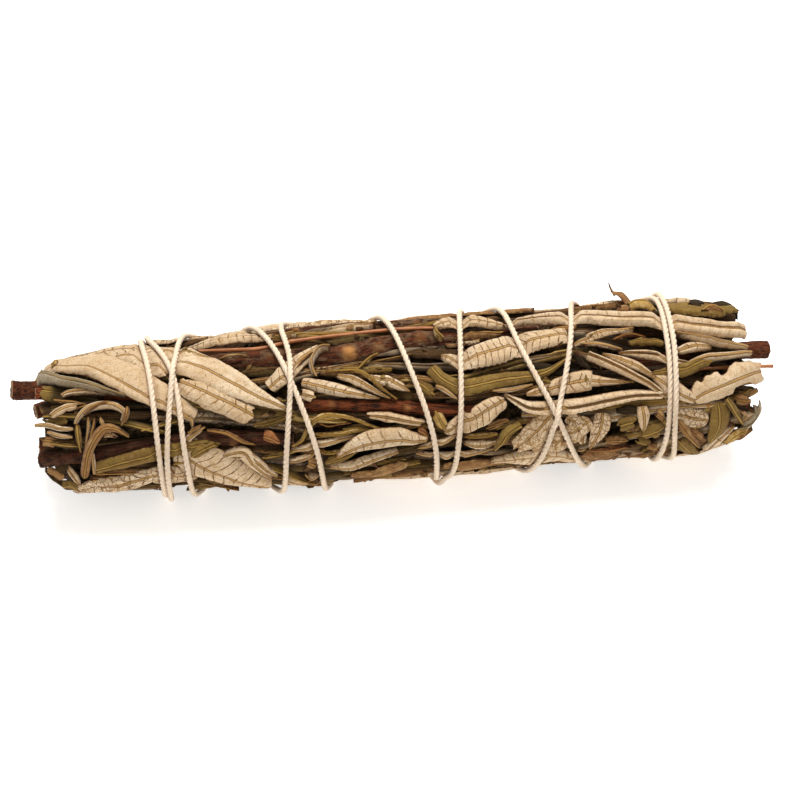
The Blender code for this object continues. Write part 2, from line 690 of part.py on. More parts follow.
def twine_grooves():
    """The room that the twine needs where it is pressed into the leaves, pass by pass."""
    grooves = []
    for number in range(len(TWINE_TURNS)):
        top = 180 * (2 * number + 1)
        centres = [twine_centre(turned) for turned in twine_course()
                   if GROOVE_FROM_DEGREES < turned - top < GROOVE_TO_DEGREES]
        grooves.append(swept(f"groove_{number}", centres, [GROOVE] * len(centres), TWINE_COLOUR))
    return grooves


def knot(extra=0.0):
    """The knot that ties the two ends of the twine."""
    bpy.ops.mesh.primitive_uv_sphere_add(segments=KNOT_SIDES, ring_count=KNOT_RINGS,
                                         radius=(KNOT_RADIUS + extra) * MM,
                                         location=on_bundle(*KNOT_PLACE))
    lump = bpy.context.object
    bpy.ops.object.transform_apply(location=True, rotation=True, scale=True)
    return lump


def knot_tails():
    """The two short ends that stick out of the knot."""
    tails = []
    for number, (along, degrees) in enumerate(KNOT_TAILS):
        places = []
        for step in range(TAIL_STEPS + 1):
            share = step / TAIL_STEPS
            places.append(on_bundle(KNOT_PLACE[0] + (along - KNOT_PLACE[0]) * share,
                                    KNOT_PLACE[1] + (degrees - KNOT_PLACE[1]) * share ** 2,
                                    TWINE_BACK_LIFT + 0.5 * (1 - share)))
        radii = [TWINE_DIAMETER / 2] * len(places)
        tails.append(round_tube(f"tail_{number}", places, radii, TWINE_SIDES, TWINE_COLOUR))
    return tails


def twine():
    """The twine, from its knot round the bunch and back to it."""
    centres = [twine_centre(turned) for turned in twine_course()]
    line = round_tube("twine", centres, [TWINE_DIAMETER / 2] * len(centres), TWINE_SIDES,
                      TWINE_COLOUR)
    joined(line, [knot(), *knot_tails()], "UNION")
    return line


def leaf_bunch():
    """All the leaves as one pressed body, with room in it for the stems and the twine."""
    bunch = core()
    leaves = (*map(seen_leaf, FRONT_LEAVES), LONE_TIP, *back_leaves())
    joined(bunch, [blade(leaf) for leaf in leaves] + end_blades(), "UNION")
    rooms = [stem_solid(stem, BARK_COLOUR, GAP) for stem in (*STEMS, *TWIGS)]
    joined(bunch, [*rooms, *twine_grooves(), knot(GAP), ground()], "DIFFERENCE")
    keep_one_body(bunch)
    return bunch


def main():
    for old in list(bpy.data.objects):
        bpy.data.objects.remove(old)
    leaf_bunch()
    for stem in STEMS:
        stem_solid(stem, BARK_COLOUR)
    for twig in TWIGS:
        stem_solid(twig, TWIG_COLOUR)
    twine()


main()
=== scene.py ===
"""A dressed bunch of dried mountain sage, wound with cotton twine, in the frame of its CAD model.

The bunch lies along X on the surface at z = 0. A place on it is given as millimetres along X,
degrees round from its front, and millimetres of lift above its mean surface. The front looks
down at FRONT_DEGREES above the horizon, and the degrees grow over the top towards the back.
"""

import functools
import math
import random
from typing import NamedTuple

import bmesh
import bpy
import numpy as np
from bpy.props import FloatProperty, IntProperty, PointerProperty
from mathutils import Matrix, Vector


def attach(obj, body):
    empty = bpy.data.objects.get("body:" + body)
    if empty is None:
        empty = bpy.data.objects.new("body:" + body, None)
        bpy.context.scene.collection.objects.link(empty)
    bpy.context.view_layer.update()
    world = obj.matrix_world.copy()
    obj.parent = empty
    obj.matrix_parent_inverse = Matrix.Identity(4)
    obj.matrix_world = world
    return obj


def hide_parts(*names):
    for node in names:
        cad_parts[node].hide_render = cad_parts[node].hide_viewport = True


bl_info = {
    "name": "Sage Bunch",
    "version": (1, 0, 0),
    "blender": (4, 5, 0),
    "location": "3D Viewport > Sidebar > Sage Bunch",
    "description": "Builds a dried sage bunch: leaves, stems, cotton twine and a plain stage",
    "category": "Object",
}

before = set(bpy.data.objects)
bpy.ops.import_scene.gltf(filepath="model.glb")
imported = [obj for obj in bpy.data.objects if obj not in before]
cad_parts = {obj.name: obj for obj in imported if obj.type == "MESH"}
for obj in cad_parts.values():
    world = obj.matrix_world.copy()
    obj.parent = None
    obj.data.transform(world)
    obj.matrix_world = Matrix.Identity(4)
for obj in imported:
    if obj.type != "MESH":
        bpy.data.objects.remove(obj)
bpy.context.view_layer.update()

MM = 0.001
BODY = "root"

# The roll itself, as in the CAD source: where its axis lies, and its mean radius along it.
AXIS = (-0.4, -0.9, 20.9)
FRONT_DEGREES = 50.0
OVAL = 0.03
GIRTH = ((-104, 10), (-99, 16.5), (-95, 19.5), (-80, 21), (-50, 22.5), (-25, 23.5),
         (10, 23), (60, 23), (90, 22.5), (100, 20.5), (105, 17), (108, 12))

# The turns of the twine over the front, each by the pixels that it shows at from the top down.
# Every other turn runs back towards the knot that the first one came from.
TWINE_TURNS = (
    ((140, 344), (150, 365), (150, 391), (153, 416), (159, 455), (164, 488)),
    ((147, 344), (164, 351), (172, 372), (177, 391), (179, 416), (185, 455), (196, 489)),
    ((251, 331), (270, 343), (286, 370), (293, 387), (299, 406), (314, 442), (328, 480)),
    ((381, 324), (395, 333), (405, 356), (414, 380), (423, 408), (432, 430), (440, 465)),
    ((499, 314), (508, 321), (518, 342), (531, 369), (544, 394), (555, 416), (571, 441),
     (588, 465)),
    ((657, 305), (663, 317), (666, 335), (671, 351), (673, 368), (672, 390), (670, 410),
     (667, 434), (659, 453)),
    ((663, 306), (670, 317), (672, 335), (676, 351), (678, 368), (677, 390), (675, 410),
     (673, 434), (672, 455)),
    ((576, 307), (573, 331), (567, 360), (562, 388), (558, 412), (554, 427), (539, 454),
     (524, 472)),
    ((462, 314), (461, 339), (460, 374), (460, 409), (460, 430), (458, 449), (444, 474)),
    ((284, 331), (289, 358), (293, 381), (294, 406), (286, 454), (280, 490)),
    ((185, 343), (176, 351), (173, 374), (171, 404), (167, 429), (167, 455), (169, 488)),
)
TURN_DEGREES = (90, 30, -30, -90)
TWINE_FROM = -66.0
TWINE_TO = -72.6
PASS_DEGREES = 60
PASSES_PER_HALF = 3
TWINE_LEAD_IN_DEGREES = 42
TWINE_LEAD_OUT_DEGREES = 48
TWINE_DIAMETER = 1.7
TWINE_LIFT = 0.6
TWINE_BACK_LIFT = 2.0
TWINE_RISE_FROM_DEGREES = 95
TWINE_RISE_OVER_DEGREES = 30
TWINE_CLEARANCE = 1.16
TWINE_HUMP_REACH = 1.6
TWINE_FLOOR_GAP = 0.3
KNOT_PLACE = (-70.5, 135.0, 2.2)
KNOT_TAILS = ((-84.0, 122.0), (-57.0, 148.0))
KNOT_LOOP = 0.42
KNOT_STRETCH = 1.3
KNOT_OVER = 0.55
KNOT_LIFT = 0.3
KNOT_FROM_AXIS = 22
KNOT_STEPS = 90
TAIL_STEPS = 40

# How leaves are laid: gaps to the twine, and how steeply they rise beside it.
PINCH_GAP = 0.1
PINCH_HALF_WIDTH = 0.85
PINCH_SLOPE = 0.95
FLOOR_GAP = 0.06

# How far the margins of whole and of torn leaves wander, and how deep tears and teeth are, as
# shares of the leaf's width.
RAGGED = 0.045
RAGGED_TORN = 0.10
TEAR_DEPTH = 0.35
TOOTH_DEPTH = 0.10
TOOTH_SPACING = 1.7

# The least and most rows and columns of a leaf's mesh, and the cell size in mm and the share of
# the full height of each kind of crumple.
LEAF_ROWS = (12, 140)
LEAF_COLUMNS = (9, 27)
CRUMPLES = ((7.0, 1.0), (2.6, 0.45), (1.1, 0.16))

# Kinds of leaf surface, in the order of the material slots of every leaf piece: the name of the
# surface on the other side, and the name of the material.
SURFACES = {
    "pale": ("olive", "leaf_felted_underside"),
    "olive": ("pale", "leaf_olive_upper_side"),
    "brown": ("brown", "leaf_dried_brown"),
    "gold": ("pale", "leaf_golden_edge"),
    "bark": ("bark", "leaf_bark_chip"),
    "grey": ("olive", "leaf_grey_underside"),
    "dark": ("dark", "leaf_blackened"),
}


class Leaf(NamedTuple):
    """One leaf. Its spine is its midrib, as (mm along, degrees round), or as seen places."""

    name: str
    colour: str
    form: str
    spine: tuple
    halves: tuple
    lift: float
    ends: tuple = (-0.6, -0.4)
    blunt: tuple = (0.35, 0.25)
    torn: bool = False
    toothed: bool = False
    radius: float = 0.0


class Form(NamedTuple):
    """The section of a kind of leaf, in mm, and how clear its side veins and its net are."""

    ridge: float
    puff: float
    curl: float
    quilt: float
    roll: float
    veined: float
    netted: float


FORMS = {
    "flat": Form(0.20, 0.30, 0.8, 0.03, 0.06, 0.25, 0.2),
    "smooth": Form(0.20, 0.45, 0.9, 0.02, 0.05, 0.22, 0.1),
    "veiny": Form(0.22, 0.40, 0.9, 0.06, 0.06, 0.85, 0.25),
    "quilted": Form(0.25, 0.45, 1.0, 0.20, 0.08, 1.0, 0.2),
    "rolled": Form(0.05, 0.90, 1.9, 0.03, 0.22, 0.25, 0.1),
    "grooved": Form(-0.55, 0.75, 1.6, 0.05, 0.18, 0.30, 0.1),
    "net": Form(0.20, 0.30, 0.7, 0.09, 0.05, 0.75, 1.0),
    "strap": Form(0.30, 0.20, 0.8, 0.0, 0.12, 0.08, 0.0),
}

# Enlarged parts of the picture, in which the places of the leaves are read: the picture's pixel
# at the left and at the top of each, and how many times it is enlarged.
LEFT = (0, 340, 7.84)
MID_LEFT = (185, 310, 7.293)
MID_RIGHT = (380, 290, 7.127)
RIGHT = (575, 280, 7.293)

# The leaves that the front shows, from the left end to the right. Each midrib is given by the
# enlarged part that it is read in and its pixels there. A place read in another has that first.
LEFT_LEAVES = (
    Leaf("left_wrap", "pale", "smooth", (LEFT, (330, 240), (520, 195), (720, 215), (900, 300),
         (1080, 400), (1300, 500), (1520, 630)), (8.0, 3.0), 1.3, (0.4, -0.6), (0.5, 0.4)),
    Leaf("wrap_fold", "grey", "rolled", (LEFT, (300, 275), (430, 285), (600, 325), (800, 378),
         (980, 432)), (1.9, 1.7), 1.2, (0.8, 0.4), (0.9, 0.1)),
    Leaf("wrap_end", "gold", "flat", (LEFT, (250, 330), (280, 270), (340, 215)), (1.0, 1.2),
         0.2, (0.0, 0.4), (0.6, 0.5), torn=True),
    Leaf("wrap_edge", "gold", "strap", (LEFT, (390, 215), (420, 185), (450, 150)), (0.8, 0.8),
         1.5, (1.0, 1.0), (0.4, 0.4), torn=True),
    Leaf("wrap_upper", "pale", "smooth", (LEFT, (900, 110), (1050, 120), (1200, 170),
         (1330, 250)), (5.0, 3.5), 1.7, (0.2, 0.6), (0.3, 0.6), torn=True),
    Leaf("top_left_edge", "pale", "veiny", (LEFT, (560, 135), (750, 110), (950, 75),
         (1150, 60), (1400, 40)), (5.0, 3.5), 0.5, (-1.0, -0.6), (0.6, 0.4)),
    Leaf("top_band", "pale", "smooth", (LEFT, (1050, 60), (1250, 70), (1450, 90),
         (MID_LEFT, 40, 300), (MID_LEFT, 200, 340)), (3.0, 3.5), 0.6, (-0.8, -0.4), (0.5,
         0.2)),
    Leaf("stub_small", "bark", "rolled", (LEFT, (350, 300), (440, 320), (530, 352)),
         (0.9, 0.9), -1.6, (-0.8, -2.2), (0.9, 0.7)),
    Leaf("stub_leaf", "pale", "flat", (LEFT, (480, 440), (560, 400), (700, 390), (860, 412)),
         (1.1, 1.3), 0.0, (0.2, -1.4), (0.5, 0.2)),
    Leaf("end_scrap", "pale", "flat", (LEFT, (385, 605), (450, 555), (540, 520), (660, 500)),
         (1.4, 1.6), 0.5, (1.0, -0.8), (0.8, 0.4), torn=True),
    Leaf("scrap_edge", "brown", "strap", (LEFT, (420, 480), (540, 482), (670, 495)),
         (0.6, 0.6), 0.3, (0.6, -0.8), (0.5, 0.4)),
    Leaf("end_olive_in", "olive", "net", (LEFT, (330, 620), (450, 640), (560, 610)),
         (1.8, 1.8), -1.4, torn=True),
    Leaf("end_arch", "pale", "rolled", (LEFT, (585, 660), (625, 585), (700, 525), (800, 500),
         (900, 510), (970, 560), (955, 640)), (1.4, 1.5), 1.5, (0.6, -0.6), (0.5, 0.6)),
    Leaf("arch_rib", "brown", "strap", (LEFT, (640, 600), (720, 535), (830, 490), (960, 500)),
         (0.7, 0.7), 2.0, (1.0, 0.4), (0.3, 0.5), torn=True),
    Leaf("arch_tail", "brown", "rolled", (LEFT, (1000, 510), (985, 600), (940, 690)),
         (1.0, 1.4), 0.9, torn=True),
    Leaf("end_olive_blade", "olive", "flat", (LEFT, (598, 660), (612, 760), (632, 890)),
         (1.1, 0.9), 1.0, (0.2, 0.4), (0.6, 0.1)),
    Leaf("arch_strip", "pale", "strap", (LEFT, (690, 600), (690, 700), (668, 840)),
         (0.7, 0.6), 0.3, (-0.4, -0.2), (0.5, 0.3)),
    Leaf("arch_strip_dark", "brown", "strap", (LEFT, (740, 600), (730, 680), (700, 790)),
         (0.7, 0.6), 0.0),
    Leaf("arch_dot", "pale", "strap", (LEFT, (785, 600), (800, 650), (830, 690)), (0.7, 0.7),
         0.2),
    Leaf("end_hook", "brown", "rolled", (LEFT, (1010, 775), (910, 705), (820, 695),
         (750, 765), (690, 890), (660, 1070)), (2.0, 1.7), 1.3, (-1.0, 1.1), (0.25, 0.9)),
    Leaf("hook_pale", "pale", "strap", (LEFT, (715, 850), (728, 940), (738, 1050)),
         (0.8, 0.6), 0.9, (0.3, 0.6), (0.3, 0.8)),
    Leaf("hook_frills", "pale", "net", (LEFT, (780, 760), (850, 740), (930, 770)), (1.0, 1.0),
         0.2, torn=True),
    Leaf("end_roll_a", "pale", "rolled", (LEFT, (270, 668), (370, 668), (470, 695),
         (575, 700)), (1.1, 1.3), 0.1, (0.2, -0.8), (0.6, 0.5)),
    Leaf("end_roll_b", "pale", "rolled", (LEFT, (370, 720), (470, 752), (570, 765)),
         (1.0, 1.2), -0.3, (0.1, -0.8), (0.5, 0.5)),
    Leaf("end_edge", "olive", "strap", (LEFT, (400, 800), (520, 828), (620, 835)), (0.9, 0.9),
         -0.5, (-0.2, -0.8), (0.5, 0.4)),
    Leaf("low_edge", "gold", "strap", (LEFT, (750, 826), (900, 830), (1050, 820),
         (1200, 790)), (0.7, 0.7), -0.4, (-0.8, -0.8), (0.4, 0.3)),
    Leaf("end_low_a", "brown", "net", (LEFT, (350, 1000), (430, 1060), (520, 1100)),
         (2.2, 2.2), 0.2, (0.6, -0.4), (0.6, 0.6), torn=True),
    Leaf("end_low_b", "pale", "flat", (LEFT, (520, 1000), (580, 1080), (640, 1160)),
         (1.2, 1.2), 0.1, torn=True),
    Leaf("end_low_c", "olive", "flat", (LEFT, (470, 1130), (560, 1150), (640, 1200)),
         (2.0, 2.0), 0.1, (0.4, -0.2), (0.5, 0.5), torn=True),
    Leaf("long_olive", "olive", "flat", (LEFT, (745, 1035), (900, 990), (1100, 930),
         (1300, 885), (1560, 840), (MID_LEFT, 260, 990)), (2.4, 2.5), 1.2, (0.5, -0.6), (0.85,
         0.25)),
    Leaf("low_left", "pale", "net", (LEFT, (590, 1200), (760, 1160), (980, 1130),
         (1230, 1060)), (3.6, 5.5), 0.5, (0.2, 0.0), (0.5, 0.5)),
    Leaf("low_patch", "pale", "net", (LEFT, (1140, 1070), (1330, 1060), (1560, 1080)),
         (3.0, 5.0), 0.2, (0.4, -0.4), (0.6, 0.6), torn=True),
    Leaf("curl_scrap", "pale", "rolled", (LEFT, (1440, 600), (1500, 620), (1510, 700)),
         (0.9, 1.2), -0.7),
    Leaf("upper_broad", "pale", "smooth", (MID_LEFT, (-120, 330), (0, 370), (120, 415),
         (250, 480), (400, 560), (550, 640), (740, 720)), (4.8, 4.4), 1.8, (0.4, 1.5), (0.85,
         0.12)),
    Leaf("lower_broad", "pale", "veiny", (MID_LEFT, (-60, 500), (50, 555), (200, 622),
         (350, 690), (510, 775)), (3.0, 4.6), 1.1, (0.4, 1.0), (0.7, 0.75), torn=True),
    Leaf("top_strip", "pale", "quilted", (MID_LEFT, (20, 240), (150, 225), (330, 210),
         (480, 190), (640, 175)), (3.0, 1.9), 0.8, (-0.8, 0.2), (0.5, 0.3)),
    Leaf("main_under", "pale", "strap", (MID_LEFT, (250, 345), (350, 335), (450, 318)),
         (0.6, 0.6), 0.4, (-0.4, -0.8), (0.4, 0.2)),
    Leaf("torn_scrap", "pale", "flat", (MID_LEFT, (0, 960), (70, 900), (150, 850)),
         (1.4, 1.8), 0.4, (0.2, 0.2), (0.6, 0.6), torn=True),
    Leaf("scrap_rib", "brown", "strap", (MID_LEFT, (20, 900), (70, 870), (120, 840)),
         (0.6, 0.6), 0.8, (0.4, 0.4), (0.4, 0.4)),
    Leaf("stem_skin", "brown", "strap", (MID_LEFT, (160, 880), (300, 900), (420, 960),
         (520, 1000)), (0.8, 0.8), 0.4, (0.0, -0.6), (0.4, 0.2)),
    Leaf("dark_under", "olive", "flat", (MID_LEFT, (500, 850), (640, 820), (800, 765)),
         (1.6, 1.4), -0.6, (-0.6, -0.8), (0.5, 0.4)),
    Leaf("bark_chip", "bark", "flat", (MID_LEFT, (570, 925), (620, 935), (695, 975)),
         (1.9, 1.5), 0.9, (0.8, 0.8), (0.9, 0.05)),
    Leaf("fan", "pale", "veiny", (MID_LEFT, (-60, 1040), (60, 1120), (180, 1175), (320, 1225),
         (460, 1268), (620, 1295)), (7.5, 5.0), 0.6, (-0.4, 0.1), (0.8, 0.3)),
    Leaf("fan_fold", "pale", "smooth", (MID_LEFT, (280, 1080), (420, 1040), (500, 1130),
         (640, 1260)), (1.6, 2.6), 0.9, (-0.2, -0.2), (0.4, 0.3)),
    Leaf("fan_side", "pale", "veiny", (MID_LEFT, (450, 1060), (560, 1140), (680, 1235)),
         (1.8, 1.6), 0.9, (-0.4, 0.2), (0.3, 0.3), torn=True),
    Leaf("low_strip", "pale", "flat", (MID_LEFT, (720, 1250), (830, 1265), (940, 1280)),
         (2.0, 3.0), 0.2, (-0.5, -0.5)),
    Leaf("green_patch", "olive", "net", (MID_LEFT, (40, 1080), (130, 1020), (260, 970)),
         (1.8, 2.0), 0.5, (-0.4, -0.2), (0.6, 0.4), torn=True),
    Leaf("low_strap_left", "olive", "strap", (MID_LEFT, (560, 1085), (700, 1060),
         (820, 1030)), (1.0, 1.0), -0.2, (-0.6, -0.4), (0.3, 0.3)),
    Leaf("low_olive", "olive", "rolled", (MID_LEFT, (560, 1130), (700, 1180), (900, 1240)),
         (1.4, 1.6), -0.6, (-1.0, -0.6), (0.3, 0.3)),
)
MIDDLE_LEAVES = (
    Leaf("rising_leaf", "pale", "veiny", (MID_LEFT, (610, 560), (700, 485), (790, 405),
         (880, 325), (975, 255)), (3.4, 2.6), 1.4, (-0.4, 0.6), (0.8, 0.35)),
    Leaf("rising_fold", "pale", "rolled", (MID_LEFT, (1080, 252), (980, 270), (925, 350),
         (930, 420), (965, 490)), (1.0, 1.2), 1.2, (0.8, 0.2), (0.3, 0.5), torn=True),
    Leaf("rising_rib", "brown", "strap", (MID_LEFT, (800, 430), (860, 365), (930, 300)),
         (0.5, 0.5), 2.0, (1.4, 1.2), (0.2, 0.2)),
    Leaf("hooked_leaf", "pale", "veiny", (MID_LEFT, (850, 520), (980, 555), (1180, 600),
         (1420, 645)), (2.6, 1.8), 0.7, (0.2, -0.4), (0.7, 0.1)),
    Leaf("hooked_scrap", "pale", "flat", (MID_LEFT, (815, 600), (880, 620), (960, 640)),
         (1.8, 1.8), 1.1, (0.4, 0.8), (0.6, 0.7), torn=True),
    Leaf("long_veined", "pale", "veiny", (MID_LEFT, (1110, 470), (1220, 500), (1340, 560),
         (1500, 645)), (1.3, 1.5), 1.0, (0.6, -0.2), (0.5, 0.1)),
    Leaf("gold_roll", "gold", "strap", (MID_LEFT, (1020, 445), (1220, 432), (1340, 480),
         (1440, 570), (1550, 650)), (0.8, 0.8), 1.4, (0.4, 0.2), (0.3, 0.2)),
    Leaf("short_veined", "pale", "quilted", (MID_LEFT, (1340, 475), (1450, 512),
         (MID_RIGHT, 60, 640), (MID_RIGHT, 225, 725)), (1.9, 2.1), 0.8, (-0.4, 0.6),
         (0.5, 0.5), torn=True),
    Leaf("small_pale", "grey", "flat", (MID_LEFT, (1300, 440), (1390, 415), (1490, 430)),
         (1.3, 1.2), -0.6, torn=True),
    Leaf("splinter", "gold", "strap", (MID_LEFT, (1255, 435), (1330, 360), (1410, 305)),
         (0.8, 0.6), 1.0, (0.6, 0.6), (0.7, 0.15)),
    Leaf("olive_wedge", "olive", "flat", (MID_RIGHT, (240, 640), (330, 700), (400, 760)),
         (2.2, 2.2), -0.4, torn=True),
    Leaf("arch_edge", "gold", "strap", (MID_LEFT, (780, 1012), (850, 965), (900, 875),
         (965, 795), (1050, 768), (1200, 792), (1330, 842), (1440, 880)), (0.9, 0.8), 1.3, (0.2,
         -0.2), (0.2, 0.2)),
    Leaf("arch_inner", "bark", "strap", (MID_LEFT, (970, 825), (1050, 850), (1140, 832),
         (1230, 822)), (0.6, 0.6), -0.4, torn=True),
    Leaf("arch_under", "gold", "strap", (MID_LEFT, (950, 912), (1100, 912), (1240, 885),
         (1360, 870)), (0.9, 0.9), 0.4, (0.2, -0.4), (0.3, 0.3)),
    Leaf("arch_gap", "olive", "strap", (MID_LEFT, (1150, 870), (1280, 860), (1420, 890)),
         (0.9, 0.9), -0.2),
    Leaf("mid_scrap", "pale", "veiny", (MID_LEFT, (1320, 770), (MID_RIGHT, 20, 905),
         (MID_RIGHT, 170, 930), (MID_RIGHT, 330, 962)), (1.5, 1.5), 0.8, (0.3, 0.0),
         (0.4, 0.6), torn=True),
    Leaf("rust_scrap", "bark", "flat", (MID_RIGHT, (250, 1000), (310, 1020), (360, 1070)),
         (1.6, 1.6), 0.4, torn=True),
    Leaf("pale_strap_a", "pale", "strap", (MID_LEFT, (770, 1050), (900, 1012), (1080, 968),
         (1300, 925)), (1.3, 1.3), 0.8, (-0.3, -0.4), (0.3, 0.3)),
    Leaf("pale_strap_b", "pale", "strap", (MID_LEFT, (745, 1130), (850, 1090), (970, 1055)),
         (1.2, 1.0), 0.4),
    Leaf("gold_edge", "gold", "strap", (MID_LEFT, (900, 1010), (1050, 1050), (1200, 1020)),
         (0.8, 0.8), 0.2, (-0.3, -0.3), (0.3, 0.3)),
    Leaf("green_wedge", "olive", "flat", (MID_LEFT, (1020, 1130), (1120, 1090), (1250, 1040)),
         (1.6, 1.8), 0.2, (-0.3, -0.4), (0.4, 0.3)),
    Leaf("spindle", "pale", "veiny", (MID_LEFT, (1108, 1088), (1220, 1022), (1350, 975),
         (MID_RIGHT, 134, 1071), (MID_RIGHT, 250, 1085), (MID_RIGHT, 345, 1085)),
         (3.6, 2.4), 1.9, (1.0, 0.6), (0.04, 0.2)),
    Leaf("spindle_under", "pale", "veiny", (MID_LEFT, (1050, 1165), (1200, 1150),
         (1350, 1105), (1560, 1045)), (1.8, 2.0), 0.9, (-0.2, 0.2), (0.3, 0.4)),
    Leaf("low_wrinkled", "brown", "net", (MID_LEFT, (1190, 1235), (1380, 1195), (1560, 1135),
         (MID_RIGHT, 170, 1220)), (2.2, 3.0), 0.4, (-0.4, -0.2), (0.4, 0.4), torn=True),
    Leaf("grey_torn", "brown", "net", (MID_LEFT, (870, 1110), (930, 1130), (1000, 1190)),
         (2.2, 2.0), 0.8, torn=True),
    Leaf("grey_curl", "pale", "rolled", (MID_LEFT, (865, 1200), (930, 1225), (1010, 1235)),
         (0.9, 0.9), 0.8, torn=True),
    Leaf("top_mid", "pale", "quilted", (MID_RIGHT, (385, 258), (500, 228), (680, 222),
         (880, 232)), (4.0, 2.0), 1.3, (1.0, 0.3), (0.3, 0.4), toothed=True),
    Leaf("top_mid_tip", "gold", "rolled", (MID_RIGHT, (385, 262), (410, 310), (455, 345)),
         (1.0, 0.9), 0.9, (0.8, 0.4), (0.5, 0.5), torn=True),
    Leaf("brown_curl", "brown", "rolled", (MID_RIGHT, (510, 318), (640, 320), (760, 310),
         (890, 290)), (1.4, 1.4), 0.6, (-0.6, -0.4), (0.5, 0.5), torn=True),
    Leaf("quilted_big", "pale", "quilted", (MID_RIGHT, (435, 462), (560, 492), (700, 465),
         (850, 420), (1000, 372), (1150, 328), (1345, 285)), (4.5, 4.4), 1.9, (1.3, 0.6), (0.12,
         0.75), toothed=True),
    Leaf("olive_under", "olive", "flat", (MID_RIGHT, (365, 545), (430, 620), (520, 675),
         (620, 690), (760, 662), (900, 635), (1050, 615), (1200, 575), (1330, 480)), (2.5, 2.4),
         1.0, (0.8, 0.2), (0.85, 0.25)),
    Leaf("olive_scrap", "pale", "rolled", (MID_RIGHT, (395, 680), (470, 715), (560, 785)),
         (0.9, 1.1), 0.5, (0.6, 0.0), (0.4, 0.3)),
    Leaf("pale_strap_c", "pale", "strap", (MID_RIGHT, (800, 718), (940, 708), (1090, 672)),
         (1.0, 0.9), 0.7, (0.2, 0.2), (0.2, 0.3)),
    Leaf("olive_crumb", "olive", "flat", (MID_RIGHT, (1140, 640), (1190, 645), (1240, 670)),
         (1.2, 1.0), 1.2, torn=True),
    Leaf("centre_veined", "pale", "quilted", (MID_RIGHT, (450, 1040), (560, 975), (680, 905),
         (800, 832), (900, 775)), (2.7, 4.0), 1.6, (0.0, 1.0), (0.35, 0.75), torn=True),
    Leaf("olive_flake", "gold", "flat", (MID_RIGHT, (390, 855), (430, 930), (475, 1010)),
         (1.6, 1.8), 1.0, (0.4, 0.4), (0.8, 0.5), torn=True),
    Leaf("low_tail", "pale", "strap", (MID_RIGHT, (270, 1130), (420, 1100), (560, 1040)),
         (1.2, 1.2), 0.6, (0.0, -0.2), (0.2, 0.4)),
    Leaf("low_strap", "pale", "strap", (MID_RIGHT, (255, 1172), (450, 1190), (650, 1172),
         (840, 1148)), (1.2, 1.3), 0.7, (-0.2, -0.4)),
    Leaf("small_veined", "pale", "quilted", (MID_RIGHT, (600, 1115), (720, 1108),
         (840, 1095)), (1.4, 1.5), 0.8),
    Leaf("small_upper", "gold", "strap", (MID_RIGHT, (600, 1060), (720, 1040), (840, 1035)),
         (0.9, 0.9), 0.5),
    Leaf("olive_curl", "olive", "rolled", (MID_RIGHT, (820, 1150), (870, 1080), (920, 1015),
         (1010, 965)), (1.8, 1.7), 1.1, (-0.3, 0.8), (0.4, 0.8)),
    Leaf("brown_hollow", "brown", "flat", (MID_RIGHT, (740, 1000), (830, 960), (930, 930)),
         (1.4, 1.4), -0.2, torn=True),
    Leaf("low_net", "brown", "net", (MID_RIGHT, (450, 1270), (650, 1255), (860, 1250)),
         (2.6, 3.5), 0.2, (-0.4, -0.4), (0.4, 0.4)),
)
